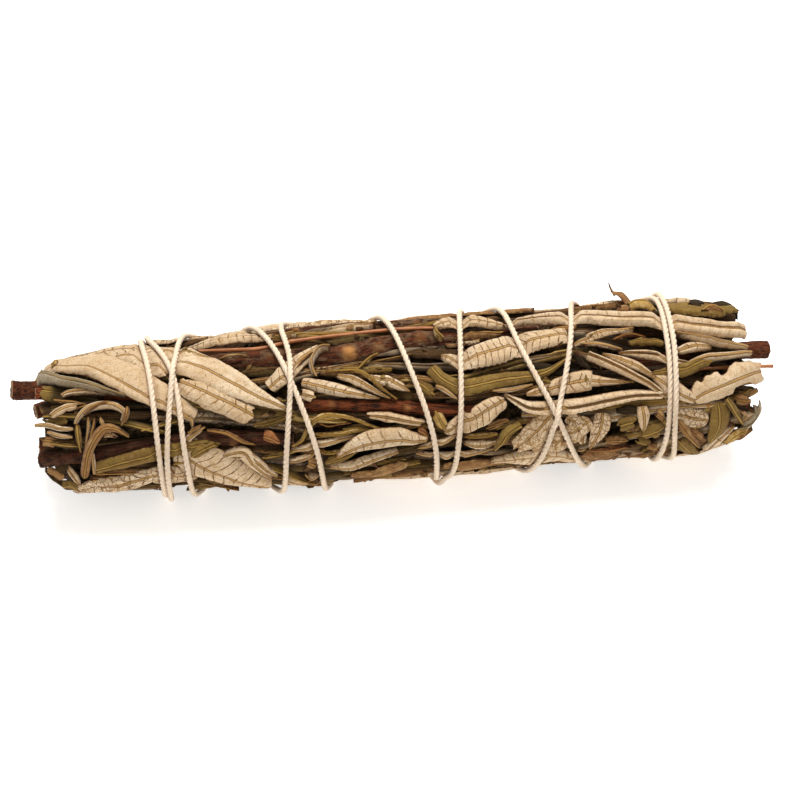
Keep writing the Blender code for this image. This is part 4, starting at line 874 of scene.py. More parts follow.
def leaf_sheet(leaf, settings, seed, coarse=1.0):
    """A leaf as a thin closed shell, laid on the roll, pressed under the stems and twine."""
    draw = random.Random(seed)
    form = FORMS[leaf.form]
    spine_mm = smooth_through(leaf.spine, np.linspace(0, 1, 40))
    spine_mm[:, 1] = np.radians(spine_mm[:, 1]) * girth(spine_mm[:, 0])
    length = float(np.linalg.norm(np.diff(spine_mm, axis=0), axis=1).sum())
    spacing = settings.grain * 1000 * coarse
    rows = int(np.clip(length / spacing, *LEAF_ROWS))
    columns = int(np.clip(sum(leaf.halves) / spacing, *LEAF_COLUMNS)) | 1
    t = np.linspace(-1, 1, columns)
    u = (0.65 * t + 0.35 * t ** 3)[None, :]
    up, down = leaf.halves

    # Rounded or torn ends.
    cuts = []
    for end in (0, 1):
        reach = 0.45 * leaf.blunt[end] * (up + down) / 2 * u[0] ** 2
        if leaf.torn:
            jag = cell_noise(np.stack((t * (up + down) / 2.2, t * 0 + end * 4.0), -1), seed + 3)
            reach = reach + 1.1 * (1 + jag)
        cuts.append(np.clip(reach / length, 0, 0.3)[None, :])
    base = np.linspace(0, 1, rows)[:, None]
    share = cuts[0] + (1 - cuts[0] - cuts[1]) * base

    # The spine, its run and the direction across it, in mm on the unrolled surface.
    middle = smooth_through(leaf.spine, share)
    near = smooth_through(leaf.spine, share - 0.03)
    far = smooth_through(leaf.spine, share + 0.03)
    along = middle[..., 0]
    body = np.maximum(girth(along), 1.0) if not leaf.radius else np.full_like(along, leaf.radius)
    run = np.stack((far[..., 0] - near[..., 0],
                    np.radians(far[..., 1] - near[..., 1]) * body), axis=-1)
    run /= np.linalg.norm(run, axis=-1, keepdims=True)
    arc = share * length
    side = np.sign(u) * np.ones_like(share)
    width = leaf_width(leaf, share) * margin(leaf, arc, side, seed)
    half = np.where(u > 0, up, down) * width
    across = u * half * (1 - form.roll * np.abs(u) ** 6)
    x = along - run[..., 1] * across
    turn = middle[..., 1] + np.degrees(run[..., 0] * across / body)

    # Its height, from the section of its form to the fine crumples.
    edge = np.abs(u)
    height = leaf_lift(leaf, share, along)
    height = height + form.ridge * np.exp(-(across / 0.5) ** 2)
    if leaf.form == "rolled":
        height = height + form.puff * (1 - edge ** 2)
    else:
        height = height + form.puff * 4 * edge * (1 - edge)
    height = height - form.curl * edge ** 3.2 * (0.75 + 0.5 * draw.random())
    order = vein_order(leaf, arc, across, settings, seed) + draw.uniform(0, 60)
    panel = np.abs(np.sin(np.pi * order)) ** 0.7 - 0.6
    height = height + form.quilt * panel * np.clip(4 * edge, 0, 1) * (1 - edge ** 4)
    for _ in range(draw.choice((1, 2, 2, 3))):
        middle_u = draw.uniform(-0.75, 0.75)
        drift = draw.uniform(-0.35, 0.35)
        depth = draw.uniform(0.15, 0.5)
        breadth = draw.uniform(0.05, 0.12)
        line = (u - middle_u - drift * (share - 0.5)) / breadth
        height = height - depth * np.exp(-line ** 2) * np.sin(np.pi * share)
    place = np.stack((arc, across, np.zeros_like(arc)), axis=-1)
    crumple = settings.crumple * 1000
    for size, strength in CRUMPLES:
        height = height + crumple * strength * cell_noise(place / size, seed + round(size * 10))
    wave = cell_noise(np.stack((arc / 4.5, side * 2.0 + 0.5), axis=-1), seed + 9)
    height = height + 0.6 * wave * edge ** 3

    free = leaf.ends[0] > 3
    if not free:
        if leaf.lift < -0.3 and not leaf.radius:
            height = soft_min(height, stem_cap(x, turn), 0.3)
        height = soft_min(height, twine_cap(x, turn), 0.25)
    outer = on_bundle(x, turn, height)
    outer[..., 2] = np.maximum(outer[..., 2], FLOOR_GAP * MM)
    normal = np.cross(np.gradient(outer, axis=0), np.gradient(outer, axis=1))
    normal /= np.maximum(np.linalg.norm(normal, axis=-1, keepdims=True), 1e-12)
    inner = outer - normal * settings.thickness
    inner[..., 2] = np.maximum(inner[..., 2], FLOOR_GAP * MM)

    count = rows * columns
    grid = np.arange(count).reshape(rows, columns)
    top = np.stack((grid[:-1, :-1], grid[1:, :-1], grid[1:, 1:], grid[:-1, 1:]), -1)
    top = top.reshape(-1, 4)
    border = np.concatenate((grid[:, 0], grid[-1, 1:], grid[-2::-1, -1], grid[0, -2:0:-1]))
    after = np.roll(border, -1)
    rim = np.stack((border, border + count, after + count, after), -1)
    quads = np.concatenate((top, top[:, ::-1] + count, rim))
    names = list(SURFACES)
    front = names.index(leaf.colour)
    reverse = names.index(SURFACES[leaf.colour][0])
    surfaces = np.concatenate((np.full(len(top), front), np.full(len(top), reverse),
                               np.full(len(rim), front)))
    uv = np.stack((order, across), -1).reshape(-1, 2)
    near_edge = np.minimum((1 - edge) * half, np.minimum(base, 1 - base) * length)
    one = np.ones_like(arc)
    marks = {
        "tone": one * draw.random(),
        "warm": one * draw.random(),
        "veined": one * form.veined * draw.uniform(0.7, 1.0),
        "netted": one * form.netted,
        "edge_mm": near_edge * one,
        # How low the leaf lies under the mean surface; the leaf materials darken by it as painted
        # shade.
        "low": np.clip((0.5 - height) / 2.6, 0, 1) * one,
    }
    marks = {name: np.tile(values.reshape(-1), 2) for name, values in marks.items()}
    points = np.concatenate((outer.reshape(-1, 3), inner.reshape(-1, 3)))
    return Sheet(points, quads, surfaces, np.tile(uv, (2, 1)), marks)


def joined(sheets):
    """One sheet from many."""
    starts = np.cumsum([0] + [len(sheet.points) for sheet in sheets[:-1]])
    return Sheet(
        np.concatenate([sheet.points for sheet in sheets]),
        np.concatenate([sheet.quads + start for sheet, start in zip(sheets, starts)]),
        np.concatenate([sheet.surfaces for sheet in sheets]),
        np.concatenate([sheet.uv for sheet in sheets]),
        {name: np.concatenate([sheet.marks[name] for sheet in sheets])
         for name in sheets[0].marks})


def make_piece(name, sheet, materials, node):
    """A mesh object from a sheet. It rides on the bundle and stands for a CAD node."""
    mesh = bpy.data.meshes.new(name)
    mesh.from_pydata(sheet.points.tolist(), [], sheet.quads.tolist())
    mesh.polygons.foreach_set("material_index", sheet.surfaces.astype(np.int32))
    corners = np.empty(len(mesh.loops), np.int32)
    mesh.loops.foreach_get("vertex_index", corners)
    mesh.uv_layers.new(name="leaf_mm")
    mesh.uv_layers["leaf_mm"].data.foreach_set("uv", sheet.uv[corners].ravel())
    for mark, values in sheet.marks.items():
        layer = mesh.attributes.new(mark, "FLOAT", "POINT")
        layer.data.foreach_set("value", values.astype(np.float32))
    for each in materials:
        mesh.materials.append(each)
    mesh.shade_smooth()
    mesh.set_sharp_from_angle(angle=math.radians(60))
    mesh.validate()
    piece = bpy.data.objects.new(name, mesh)
    bpy.context.scene.collection.objects.link(piece)
    settle(piece, node)
    return piece


def settle(piece, node):
    """The piece rides on the bundle, and the CAD node that it stands for is hidden."""
    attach(piece, BODY)
    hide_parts(node)


def drawn_leaves(rows, seed, lifts, halves, colours, forms):
    """Rows of leaves laid along the roll, drawn at random."""
    draw = random.Random(seed)
    leaves = []
    for row, degrees in enumerate(rows):
        start = LAYER_FROM + draw.uniform(-3, 14)
        while start < LAYER_TO - 18:
            length = draw.uniform(*DRAWN_LENGTHS)
            end = min(start + length, LAYER_TO + draw.uniform(-2, 2))
            turn = degrees + draw.uniform(-DRAWN_TURN, DRAWN_TURN)
            lean = draw.uniform(-DRAWN_LEAN, DRAWN_LEAN)
            bend = draw.uniform(-DRAWN_BEND, DRAWN_BEND)
            spine = ((start, turn - lean), (start * 0.66 + end * 0.34, turn - lean / 3 + bend),
                     (start * 0.34 + end * 0.66, turn + lean / 3 + bend), (end, turn + lean))
            leaves.append(Leaf(
                f"drawn_{seed}_{row}_{len(leaves)}",
                draw.choices(tuple(colours), tuple(colours.values()))[0],
                draw.choices(tuple(forms), tuple(forms.values()))[0],
                spine, (draw.uniform(*halves), draw.uniform(*halves)), draw.uniform(*lifts),
                (draw.uniform(-1.6, -0.6), draw.uniform(-1.4, 0.2)),
                (draw.uniform(0.15, 0.5), draw.uniform(0.08, 0.4)),
                torn=draw.random() < DRAWN_TORN))
            start += length * draw.uniform(0.55, 0.85)
    return leaves


# Materials.

def linear(code):
    """A colour written as six hexadecimal digits of sRGB, as the linear RGBA of a shader."""
    channels = [int(code[place:place + 2], 16) / 255 for place in (0, 2, 4)]
    return (*(c / 12.92 if c <= 0.04045 else ((c + 0.055) / 1.055) ** 2.4 for c in channels), 1)


def add_node(tree, kind, inputs=None, **settings):
    """A node with its settings, whose inputs get a value or a link from another node."""
    made = tree.nodes.new(kind)
    for name, value in settings.items():
        setattr(made, name, value)
    for name, value in (inputs or {}).items():
        if isinstance(value, bpy.types.NodeSocket):
            tree.links.new(value, made.inputs[name])
        else:
            made.inputs[name].default_value = value
    return made


def calc(tree, operation, first, second=0.0):
    """The output of a math node."""
    return add_node(tree, "ShaderNodeMath", {0: first, 1: second}, operation=operation).outputs[0]


def blend(tree, amount, first, second, mode="MIX"):
    """The output of a node that mixes two colours."""
    return add_node(tree, "ShaderNodeMix", {0: amount, 6: first, 7: second},
                    data_type="RGBA", blend_type=mode).outputs[2]


def between(tree, value, low, high, start=0.0, end=1.0):
    """The value mapped smoothly from low..high to start..end."""
    inputs = {"Value": value, "From Min": low, "From Max": high, "To Min": start, "To Max": end}
    return add_node(tree, "ShaderNodeMapRange", inputs,
                    interpolation_type="SMOOTHSTEP").outputs["Result"]


def mark(tree, name):
    """The value of a point attribute."""
    return add_node(tree, "ShaderNodeAttribute", attribute_name=name).outputs["Fac"]


def grain(tree, vector, scale, detail=3.0, roughness=0.6):
    """The value of a noise texture."""
    inputs = {"Vector": vector, "Scale": scale, "Detail": detail, "Roughness": roughness}
    return add_node(tree, "ShaderNodeTexNoise", inputs).outputs["Fac"]


def new_material(name, roughness, sheen=0.0, specular=0.3):
    """A material, its node tree and its principled shader."""
    made = bpy.data.materials.new(name)
    made.use_nodes = True
    shader = made.node_tree.nodes["Principled BSDF"]
    shader.inputs["Roughness"].default_value = roughness
    shader.inputs["Specular IOR Level"].default_value = specular
    shader.inputs["Sheen Weight"].default_value = sheen
    shader.inputs["Sheen Roughness"].default_value = 0.5
    return made, made.node_tree, shader


def made_once(name):
    """Has a function make the material of that name only where there is none yet."""
    def wrap(make):
        return lambda: bpy.data.materials.get(name) or make(name)
    return wrap


def layered(tree, base, layers):
    """A colour with others laid over it, each by its amount."""
    for amount, colour in layers:
        base = blend(tree, amount, base, colour)
    return base


def weighted_sum(tree, parts):
    """The output of the sum of values, each times its weight."""
    total = 0.0
    for value, weight in parts:
        total = add_node(tree, "ShaderNodeMath", {0: value, 1: weight, 2: total},
                         operation="MULTIPLY_ADD").outputs[0]
    return total


def bump(tree, shader, height, distance):
    """Gives the shader a bump of that height, in metres."""
    made = add_node(tree, "ShaderNodeBump", {"Height": height, "Distance": distance})
    tree.links.new(made.outputs["Normal"], shader.inputs["Normal"])


def leaf_veins(tree):
    """The midrib, its borders, the side veins and the net of a leaf, each from 0 to 1."""
    uv = add_node(tree, "ShaderNodeUVMap", uv_map="leaf_mm").outputs["UV"]
    parts = add_node(tree, "ShaderNodeSeparateXYZ", {"Vector": uv}).outputs
    flat = add_node(tree, "ShaderNodeVectorMath", {0: uv, 1: (2.6, 1.0, 1.0)},
                    operation="MULTIPLY").outputs[0]
    wander = calc(tree, "SUBTRACT", grain(tree, flat, 0.5, 3.0), 0.5)
    off_rib = calc(tree, "ABSOLUTE", calc(tree, "ADD", parts["Y"],
                                          calc(tree, "MULTIPLY", wander, 0.45)))
    midrib = between(tree, off_rib, 0.16, 0.30, 1.0, 0.0)
    borders = calc(tree, "SUBTRACT", between(tree, off_rib, 0.34, 0.50, 1.0, 0.0), midrib)
    off_vein = calc(tree, "PINGPONG", calc(tree, "ADD", parts["X"],
                                           calc(tree, "MULTIPLY", wander, 0.22)), 0.5)
    side_veins = between(tree, off_vein, 0.025, 0.10, 1.0, 0.0)
    cells = add_node(tree, "ShaderNodeTexVoronoi", {"Vector": flat, "Scale": 0.75},
                     feature="DISTANCE_TO_EDGE").outputs["Distance"]
    net = between(tree, cells, 0.01, 0.075, 1.0, 0.0)
    broken = between(tree, grain(tree, flat, 0.55, 4.0, 0.7), 0.36, 0.60, 0.1, 1.0)
    fade = calc(tree, "MULTIPLY", between(tree, mark(tree, "edge_mm"), 0.1, 1.2, 0.3, 1.0),
                broken)
    return flat, midrib, borders, calc(tree, "MULTIPLY", side_veins, fade), net


def leaf_material(name, colours, vein_strength=1.0, felt=1.0):
    """A dried leaf surface, from six colours: two of its base, its stains, its golden veins, its
    dark veins and edges, and its dark specks, which is also the painted shade where the leaf lies
    low between other leaves."""
    light, other, stain, gold, brown, dark = colours
    made, tree, shader = new_material(name, 0.92, sheen=0.10 * felt, specular=0.12)
    flat, midrib, borders, side_veins, net = leaf_veins(tree)
    place = add_node(tree, "ShaderNodeTexCoord").outputs["Object"]
    patches = grain(tree, place, 120.0, 4.0, 0.6)
    felted = grain(tree, place, 2600.0, 2.0, 0.7)
    mottle = grain(tree, place, 650.0, 5.0, 0.7)
    blotch = grain(tree, place, 330.0, 3.0, 0.6)
    veined = calc(tree, "MULTIPLY", mark(tree, "veined"), vein_strength)
    netted = calc(tree, "MULTIPLY", mark(tree, "netted"), 0.6 * vein_strength)
    seen_veins = calc(tree, "MULTIPLY", side_veins, veined)
    seen_net = calc(tree, "MULTIPLY", net, netted)
    vein_colour = blend(tree, calc(tree, "MULTIPLY", mark(tree, "warm"), 0.6), linear(brown),
                        linear(gold))
    ragged = calc(tree, "ADD", mark(tree, "edge_mm"),
                  calc(tree, "MULTIPLY", calc(tree, "SUBTRACT", mottle, 0.5), 1.6))
    specks = between(tree, grain(tree, place, 1100.0, 2.0, 0.5), 0.68, 0.73)
    base = layered(tree, linear(light), (
        (calc(tree, "MULTIPLY", mark(tree, "tone"), 0.8), linear(other)),
        (between(tree, patches, 0.38, 0.62, 0.0, 0.85), linear(other)),
        (between(tree, mottle, 0.47, 0.68, 0.0, 0.65), linear(stain)),
        (between(tree, blotch, 0.60, 0.70, 0.0, 0.4), linear(gold)),
        (between(tree, felted, 0.48, 0.74, 0.0, 0.45), linear(brown)),
        (seen_net, vein_colour),
        (seen_veins, vein_colour),
        (calc(tree, "MULTIPLY", borders, 0.8), linear(brown)),
        (calc(tree, "MULTIPLY", midrib, 0.85), linear(gold)),
        (between(tree, ragged, -0.05, 0.34, 0.9, 0.0), linear(brown)),
        (calc(tree, "MULTIPLY", specks, 0.7), linear(dark)),
        # Painted shade: the lower the leaf lies between other leaves, the darker it is painted.
        (between(tree, mark(tree, "low"), 0.15, 1.0, 0.0, 0.85), linear(dark))))
    tree.links.new(base, shader.inputs["Base Color"])
    relief = weighted_sum(tree, ((midrib, 0.5), (seen_veins, 0.6), (borders, -0.4),
                                 (seen_net, 0.5), (felted, 0.5 * felt), (mottle, 0.5)))
    bump(tree, shader, relief, 0.00030)
    return made


def leaf_materials():
    """The leaf surfaces, in the order of SURFACES. They are made once."""
    names = [name for _, name in SURFACES.values()]
    found = [bpy.data.materials.get(name) for name in names]
    if all(found):
        return found
    return [
        # Felted underside of a yerba santa leaf: cream, with golden-brown veins.
        leaf_material(names[0], ("D8C2A2", "C4A884", "B08E5E", "A87E3C", "663E1C", "2A1A0E"),
                      1.5),
        # Upper side of the dried leaf: dull olive brown with blotches.
        leaf_material(names[1], ("7E6530", "6A5026", "8E7444", "A07E3C", "402814", "1A1008"),
                      0.5, 0.4),
        # Leaf dried to brown, thin and brittle.
        leaf_material(names[2], ("9A7448", "7A5230", "B0905E", "9A7036", "422612", "1E1208"),
                      0.8, 0.5),
        # Folded leaf edge, golden.
        leaf_material(names[3], ("B8985A", "9C783C", "D0B684", "94702E", "5A3E1A", "2A1C0C"),
                      0.4, 0.4),
        # Loose chip of stem bark, rust brown.
        leaf_material(names[4], ("8E5A34", "6C4024", "A87648", "9C6C3C", "3A2214", "1C110A"),
                      0.1, 0.1),
        # Underside in grey, darker and cooler than the felted cream one.
        leaf_material(names[5], ("B0A086", "94846A", "8E7856", "8C7040", "4A3620", "241A0E"),
                      0.5, 1.0),
        # Leaf gone black.
        leaf_material(names[6], ("2C2216", "3A2C1C", "4A3A26", "3E2E1A", "1A120A", "0E0A06"),
                      0.2, 0.2),
    ]


def stretched(tree, vector, scale):
    """The vector scaled by another along each axis."""
    return add_node(tree, "ShaderNodeVectorMath", {0: vector, 1: scale},
                    operation="MULTIPLY").outputs[0]


@made_once("dry_wrinkled_bark")
def bark_material(name):
    """Dried bark: red-brown to grey, with long wrinkles and flakes."""
    made, tree, shader = new_material(name, 0.82, specular=0.14)
    uv = add_node(tree, "ShaderNodeUVMap", uv_map="leaf_mm").outputs["UV"]
    streaks = grain(tree, stretched(tree, uv, (0.22, 1.8, 1.0)), 1.0, 6.0, 0.7)
    flakes = grain(tree, stretched(tree, uv, (0.30, 0.55, 1.0)), 1.0, 5.0, 0.65)
    fine = grain(tree, stretched(tree, uv, (2.2, 5.0, 1.0)), 1.0, 4.0, 0.65)
    base = blend(tree, mark(tree, "tone"), linear("402014"), linear("A0522A"))
    base = blend(tree, between(tree, streaks, 0.40, 0.58), linear("1C0E0A"), base)
    base = layered(tree, base, (
        (calc(tree, "MULTIPLY", between(tree, flakes, 0.46, 0.60), mark(tree, "warm")),
         linear("7C6448")),
        (between(tree, fine, 0.52, 0.70, 0.0, 0.5), linear("86583A")),
        (mark(tree, "scar"), linear("BE854C"))))
    tree.links.new(base, shader.inputs["Base Color"])
    relief = weighted_sum(tree, ((streaks, 1.0), (fine, 0.5), (flakes, 0.6)))
    bump(tree, shader, relief, 0.0008)
    return made


@made_once("stem_cut_wood")
def wood_material(name):
    """Cut end of a dry stem: tan wood with a darker pith and rings."""
    made, tree, shader = new_material(name, 0.8)
    place = add_node(tree, "ShaderNodeTexCoord").outputs["Object"]
    rings = grain(tree, place, 1500.0, 3.0)
    pith = between(tree, mark(tree, "edge_mm"), 0.6, 2.2, 0.0, 0.8)
    base = blend(tree, rings, linear("9C7A54"), linear("6E4C32"))
    base = blend(tree, pith, base, linear("3C261A"))
    tree.links.new(base, shader.inputs["Base Color"])
    bump(tree, shader, rings, 0.0003)
    return made


@made_once("twig_orange")
def twig_material(name):
    """Thin dry twig: orange-brown, satin."""
    made, tree, shader = new_material(name, 0.5, specular=0.45)
    uv = add_node(tree, "ShaderNodeUVMap", uv_map="leaf_mm").outputs["UV"]
    streaks = grain(tree, stretched(tree, uv, (0.25, 3.0, 1.0)), 1.0, 4.0)
    base = blend(tree, between(tree, streaks, 0.35, 0.7), linear("B4713F"), linear("7E4522"))
    base = blend(tree, mark(tree, "scar"), base, linear("C99C66"))
    tree.links.new(base, shader.inputs["Base Color"])
    bump(tree, shader, streaks, 0.00015)
    return made


@made_once("leaf_heart_litter")
def heart_material(name):
    """Packed leaf litter in the heart of the bunch, nearly in the dark, coloured near black as
    painted shade.
    """
    made, tree, shader = new_material(name, 0.95, specular=0.1)
    place = add_node(tree, "ShaderNodeTexCoord").outputs["Object"]
    litter = grain(tree, place, 400.0, 5.0, 0.7)
    # Painted shade: the litter is coloured near black so the deep gaps between the leaves look
    # dark.
    base = blend(tree, between(tree, litter, 0.4, 0.7), linear("1E160C"), linear("54432A"))
    tree.links.new(base, shader.inputs["Base Color"])
    bump(tree, shader, litter, 0.0015)
    return made


@made_once("three_ply_cotton")
def twine_material(name):
    """Undyed three-ply cotton twine: cream with a pink cast, matte."""
    made, tree, shader = new_material(name, 0.9, sheen=0.2, specular=0.1)
    place = add_node(tree, "ShaderNodeTexCoord").outputs["Object"]
    fibre = grain(tree, place, 2600.0, 3.0, 0.7)
    soil = grain(tree, place, 160.0, 3.0)
    base = blend(tree, fibre, linear("EEDAC2"), linear("DEC6A8"))
    base = blend(tree, between(tree, soil, 0.5, 0.75, 0.0, 0.35), base, linear("C6A684"))
    tree.links.new(base, shader.inputs["Base Color"])
    bump(tree, shader, fibre, 0.00012)
    return made


def floor_material():
    """Plain white paper sweep, which glows a little by itself as painted light."""
    made, tree, shader = new_material("paper_sweep", 0.9, specular=0.1)
    place = add_node(tree, "ShaderNodeTexCoord").outputs["Object"]
    base = blend(tree, grain(tree, place, 8.0), linear("FAF9F7"), linear("F6F5F3"))
    tree.links.new(base, shader.inputs["Base Color"])
    shader.inputs["Emission Color"].default_value = (1.0, 0.99, 0.97, 1)
    shader.inputs["Emission Strength"].default_value = PAPER_GLOW
    return made


# Stems: mm between their rings, and how far from the middle of a cut end its rings are.
BARK_RING_SPACING = 0.5
CAP_SHARES = (0.93, 0.62, 0.3, 0.06)
STEM_SIDES = 36
TWIG_SIDES = 14


def tube_frame(centres):
    """The outward and sideways directions of rings along a tube on the roll."""
    course = np.gradient(centres, axis=0)
    course /= np.linalg.norm(course, axis=1, keepdims=True)
    outward = centres - np.array(AXIS) * MM
    outward[:, 0] = 0
    outward -= course * (outward * course).sum(axis=1, keepdims=True)
    outward /= np.linalg.norm(outward, axis=1, keepdims=True)
    return course, outward, np.cross(course, outward)


def stem_sheet(stem, settings, seed, sides):
    """A woody stem with wrinkled bark, swollen knots and cut ends."""
    radius = stem.diameter / 2
    run = np.linalg.norm(np.diff(on_bundle(*stem_line(stem, 200)), axis=0), axis=1).sum() / MM
    rings = int(run / BARK_RING_SPACING)
    places = stem_line(stem, rings)
    centres = on_bundle(*places)
    direction, outward, sideways = tube_frame(centres)
    angle = np.linspace(0, 2 * math.pi, sides, endpoint=False)[None, :]
    arc = np.linspace(0, run, rings)[:, None]
    ones = np.ones((rings, sides))

    def lumps(cell, turns, number):
        """Noise with cells that long, and that many round the stem's half."""
        place = (arc / cell * ones, np.cos(angle) * turns * ones, np.sin(angle) * turns * ones)
        return cell_noise(np.stack(place, -1), seed + number)

    relief = settings.bark_relief * 1000 * min(1.0, radius / 2)
    size = radius * (0.97 + 0.05 * lumps(9, 1.1, 0))
    size = size + relief * (lumps(5, radius * 1.6, 1) + 0.35 * lumps(1.3, radius * 3, 2))
    scar = np.zeros((rings, sides))
    for knot, facing, bare in stem.knots:
        apart = (places[0][:, None] - knot) / (radius * 0.55)
        beside = (angle - facing + math.pi) % (2 * math.pi) - math.pi
        swell = np.exp(-apart ** 2)
        size = size + radius * swell * (0.10 + 0.16 * np.exp(-beside ** 2 / 0.25))
        ring = np.exp(-((np.hypot(apart, beside * 1.6) - 0.75) / 0.22) ** 2)
        size = size - 0.08 * radius * ring
        scar = np.maximum(scar, bare * np.exp(-(apart ** 4 * 1.6 + beside ** 4 * 8)))
    points = (centres[:, None, :] + (outward[:, None, :] * (np.cos(angle) * size)[..., None]
                                     + sideways[:, None, :] * (np.sin(angle) * size)[..., None])
              * MM)

    # Cut ends: a worn edge and three rings to the middle.
    caps = {}
    for end, sign in ((0, -1), (rings - 1, 1)):
        rim = points[end]
        centre = rim.mean(axis=0)
        loops = []
        for share in CAP_SHARES:
            jag = cell_noise(np.stack((np.cos(angle[0]) * share * 3, np.sin(angle[0]) * share * 3),
                                      -1), seed + 5 + end)
            push = (0.12 + 0.28 * (jag + 0.4)) * radius * 0.4
            push = push * sign * MM
            loops.append(centre + (rim - centre) * share + direction[end] * push[:, None])
        caps[end] = loops
    layers = [*caps[0][::-1], *points, *caps[rings - 1]]
    stack = np.array(layers)
    count = len(stack)
    grid = np.arange(count * sides).reshape(count, sides)
    beside = np.roll(grid, -1, axis=1)
    quads = np.stack((grid[:-1], beside[:-1], beside[1:], grid[1:]), -1).reshape(-1, 4)
    cap_rows = len(caps[0])
    row_of = np.repeat(np.arange(count - 1), sides)
    surfaces = ((row_of < cap_rows) | (row_of >= count - 1 - cap_rows)).astype(int)
    arc_all = np.concatenate((np.zeros(cap_rows), arc[:, 0], np.full(cap_rows, run)))
    around = np.abs(angle[0] - math.pi) * radius
    uv = np.stack((np.repeat(arc_all, sides) + seed * 37, np.tile(around, count)), -1)
    shares = np.concatenate((CAP_SHARES[::-1], np.ones(rings), CAP_SHARES))
    marks = {
        "tone": np.full(count * sides, stem.tint),
        "warm": np.full(count * sides, stem.grey),
        "scar": np.concatenate((np.zeros(cap_rows * sides), scar.ravel(),
                                np.zeros(cap_rows * sides))),
        "edge_mm": np.repeat((1 - shares) * radius, sides),
    }
    return Sheet(stack.reshape(-1, 3), quads, surfaces, uv, marks)


# Geometry Nodes, and the small things that they scatter, in mm.
FLAKE_OUTLINE = ((-1.0, -0.3), (-0.4, -0.7), (0.5, -0.5), (1.1, 0.1), (0.4, 0.6), (-0.6, 0.5))
FLAKE_THICKNESS = 0.15
FIBRE_LENGTH = 0.8
FIBRE_HALF_WIDTH = 0.012
FIBRE_BEND = 0.35


def node_group(name, sockets):
    """A Geometry Nodes group with a geometry in and out and named inputs with defaults."""
    tree = bpy.data.node_groups.new(name, "GeometryNodeTree")
    tree.interface.new_socket("Geometry", in_out="INPUT", socket_type="NodeSocketGeometry")
    tree.interface.new_socket("Geometry", in_out="OUTPUT", socket_type="NodeSocketGeometry")
    for label, kind in sockets:
        tree.interface.new_socket(label, in_out="INPUT", socket_type=kind)
    start = tree.nodes.new("NodeGroupInput").outputs
    end = tree.nodes.new("NodeGroupOutput").inputs
    return tree, start, end


def close_group(tree, end, geometry, material):
    """The tree, with its geometry made real, painted and led to its end."""
    real = add_node(tree, "GeometryNodeRealizeInstances", {"Geometry": geometry})
    painted = add_node(tree, "GeometryNodeSetMaterial",
                       {"Geometry": real.outputs["Geometry"], "Material": material})
    tree.links.new(painted.outputs["Geometry"], end["Geometry"])
    return tree


def scene_copy(thing):
    """A copy that is in the scene, because a modifier runs on no other."""
    made = thing.copy()
    bpy.context.scene.collection.objects.link(made)
    return made


def grown(host, name, tree, values):
    """A mesh object made by the node group on host, which is then removed."""
    change = host.modifiers.new(tree.name, "NODES")
    change.node_group = tree
    for item in tree.interface.items_tree:
        if item.in_out == "INPUT" and item.name in values:
            change[item.identifier] = values[item.name]
    host.update_tag()
    graph = bpy.context.evaluated_depsgraph_get()
    mesh = bpy.data.meshes.new_from_object(host.evaluated_get(graph))
    if not mesh.polygons:
        raise RuntimeError(f"{tree.name} made no faces for {name}")
    mesh.name = name
    bpy.data.objects.remove(host)
    piece = bpy.data.objects.new(name, mesh)
    bpy.context.scene.collection.objects.link(piece)
    return piece


def twist_group(material):
    """Three plies twisted round each path, with real lay."""
    tree, start, end = node_group("Twisted Plies", (
        ("Ply Radius", "NodeSocketFloat"), ("Ply Offset", "NodeSocketFloat"),
        ("Lay", "NodeSocketFloat"), ("Plies", "NodeSocketInt")))
    length = add_node(tree, "GeometryNodeSplineParameter").outputs["Length"]
    turns = add_node(tree, "ShaderNodeMath", {0: length, 1: start["Lay"]}, operation="DIVIDE")
    tilt = add_node(tree, "ShaderNodeMath", {0: turns.outputs[0], 1: 2 * math.pi},
                    operation="MULTIPLY")
    path = add_node(tree, "GeometryNodeSetCurveTilt",
                    {"Curve": start["Geometry"], "Tilt": tilt.outputs[0]})
    section = add_node(tree, "GeometryNodeCurvePrimitiveCircle",
                       {"Resolution": 9, "Radius": start["Ply Radius"]}, mode="RADIUS")
    ring = add_node(tree, "GeometryNodeCurvePrimitiveCircle",
                    {"Resolution": start["Plies"], "Radius": start["Ply Offset"]}, mode="RADIUS")
    spread = add_node(tree, "GeometryNodeCurveToPoints", {"Curve": ring.outputs["Curve"]},
                      mode="EVALUATED")
    placed = add_node(tree, "GeometryNodeInstanceOnPoints",
                      {"Points": spread.outputs["Points"], "Instance": section.outputs["Curve"]})
    sections = add_node(tree, "GeometryNodeRealizeInstances",
                        {"Geometry": placed.outputs["Instances"]})
    swept = add_node(tree, "GeometryNodeCurveToMesh",
                     {"Curve": path.outputs["Curve"],
                      "Profile Curve": sections.outputs["Geometry"], "Fill Caps": True})
    smooth = add_node(tree, "GeometryNodeSetShadeSmooth", {"Geometry": swept.outputs["Mesh"]})
    return close_group(tree, end, smooth.outputs["Geometry"], material)


def path_object(name, paths):
    """A curve object with one straight-segment spline for each list of points."""
    curve = bpy.data.curves.new(name, "CURVE")
    curve.dimensions = "3D"
    for points in paths:
        spline = curve.splines.new("POLY")
        spline.points.add(len(points) - 1)
        flat = np.concatenate((points, np.ones((len(points), 1))), axis=1)
        spline.points.foreach_set("co", flat.ravel())
    thing = bpy.data.objects.new(name, curve)
    bpy.context.scene.collection.objects.link(thing)
    return thing


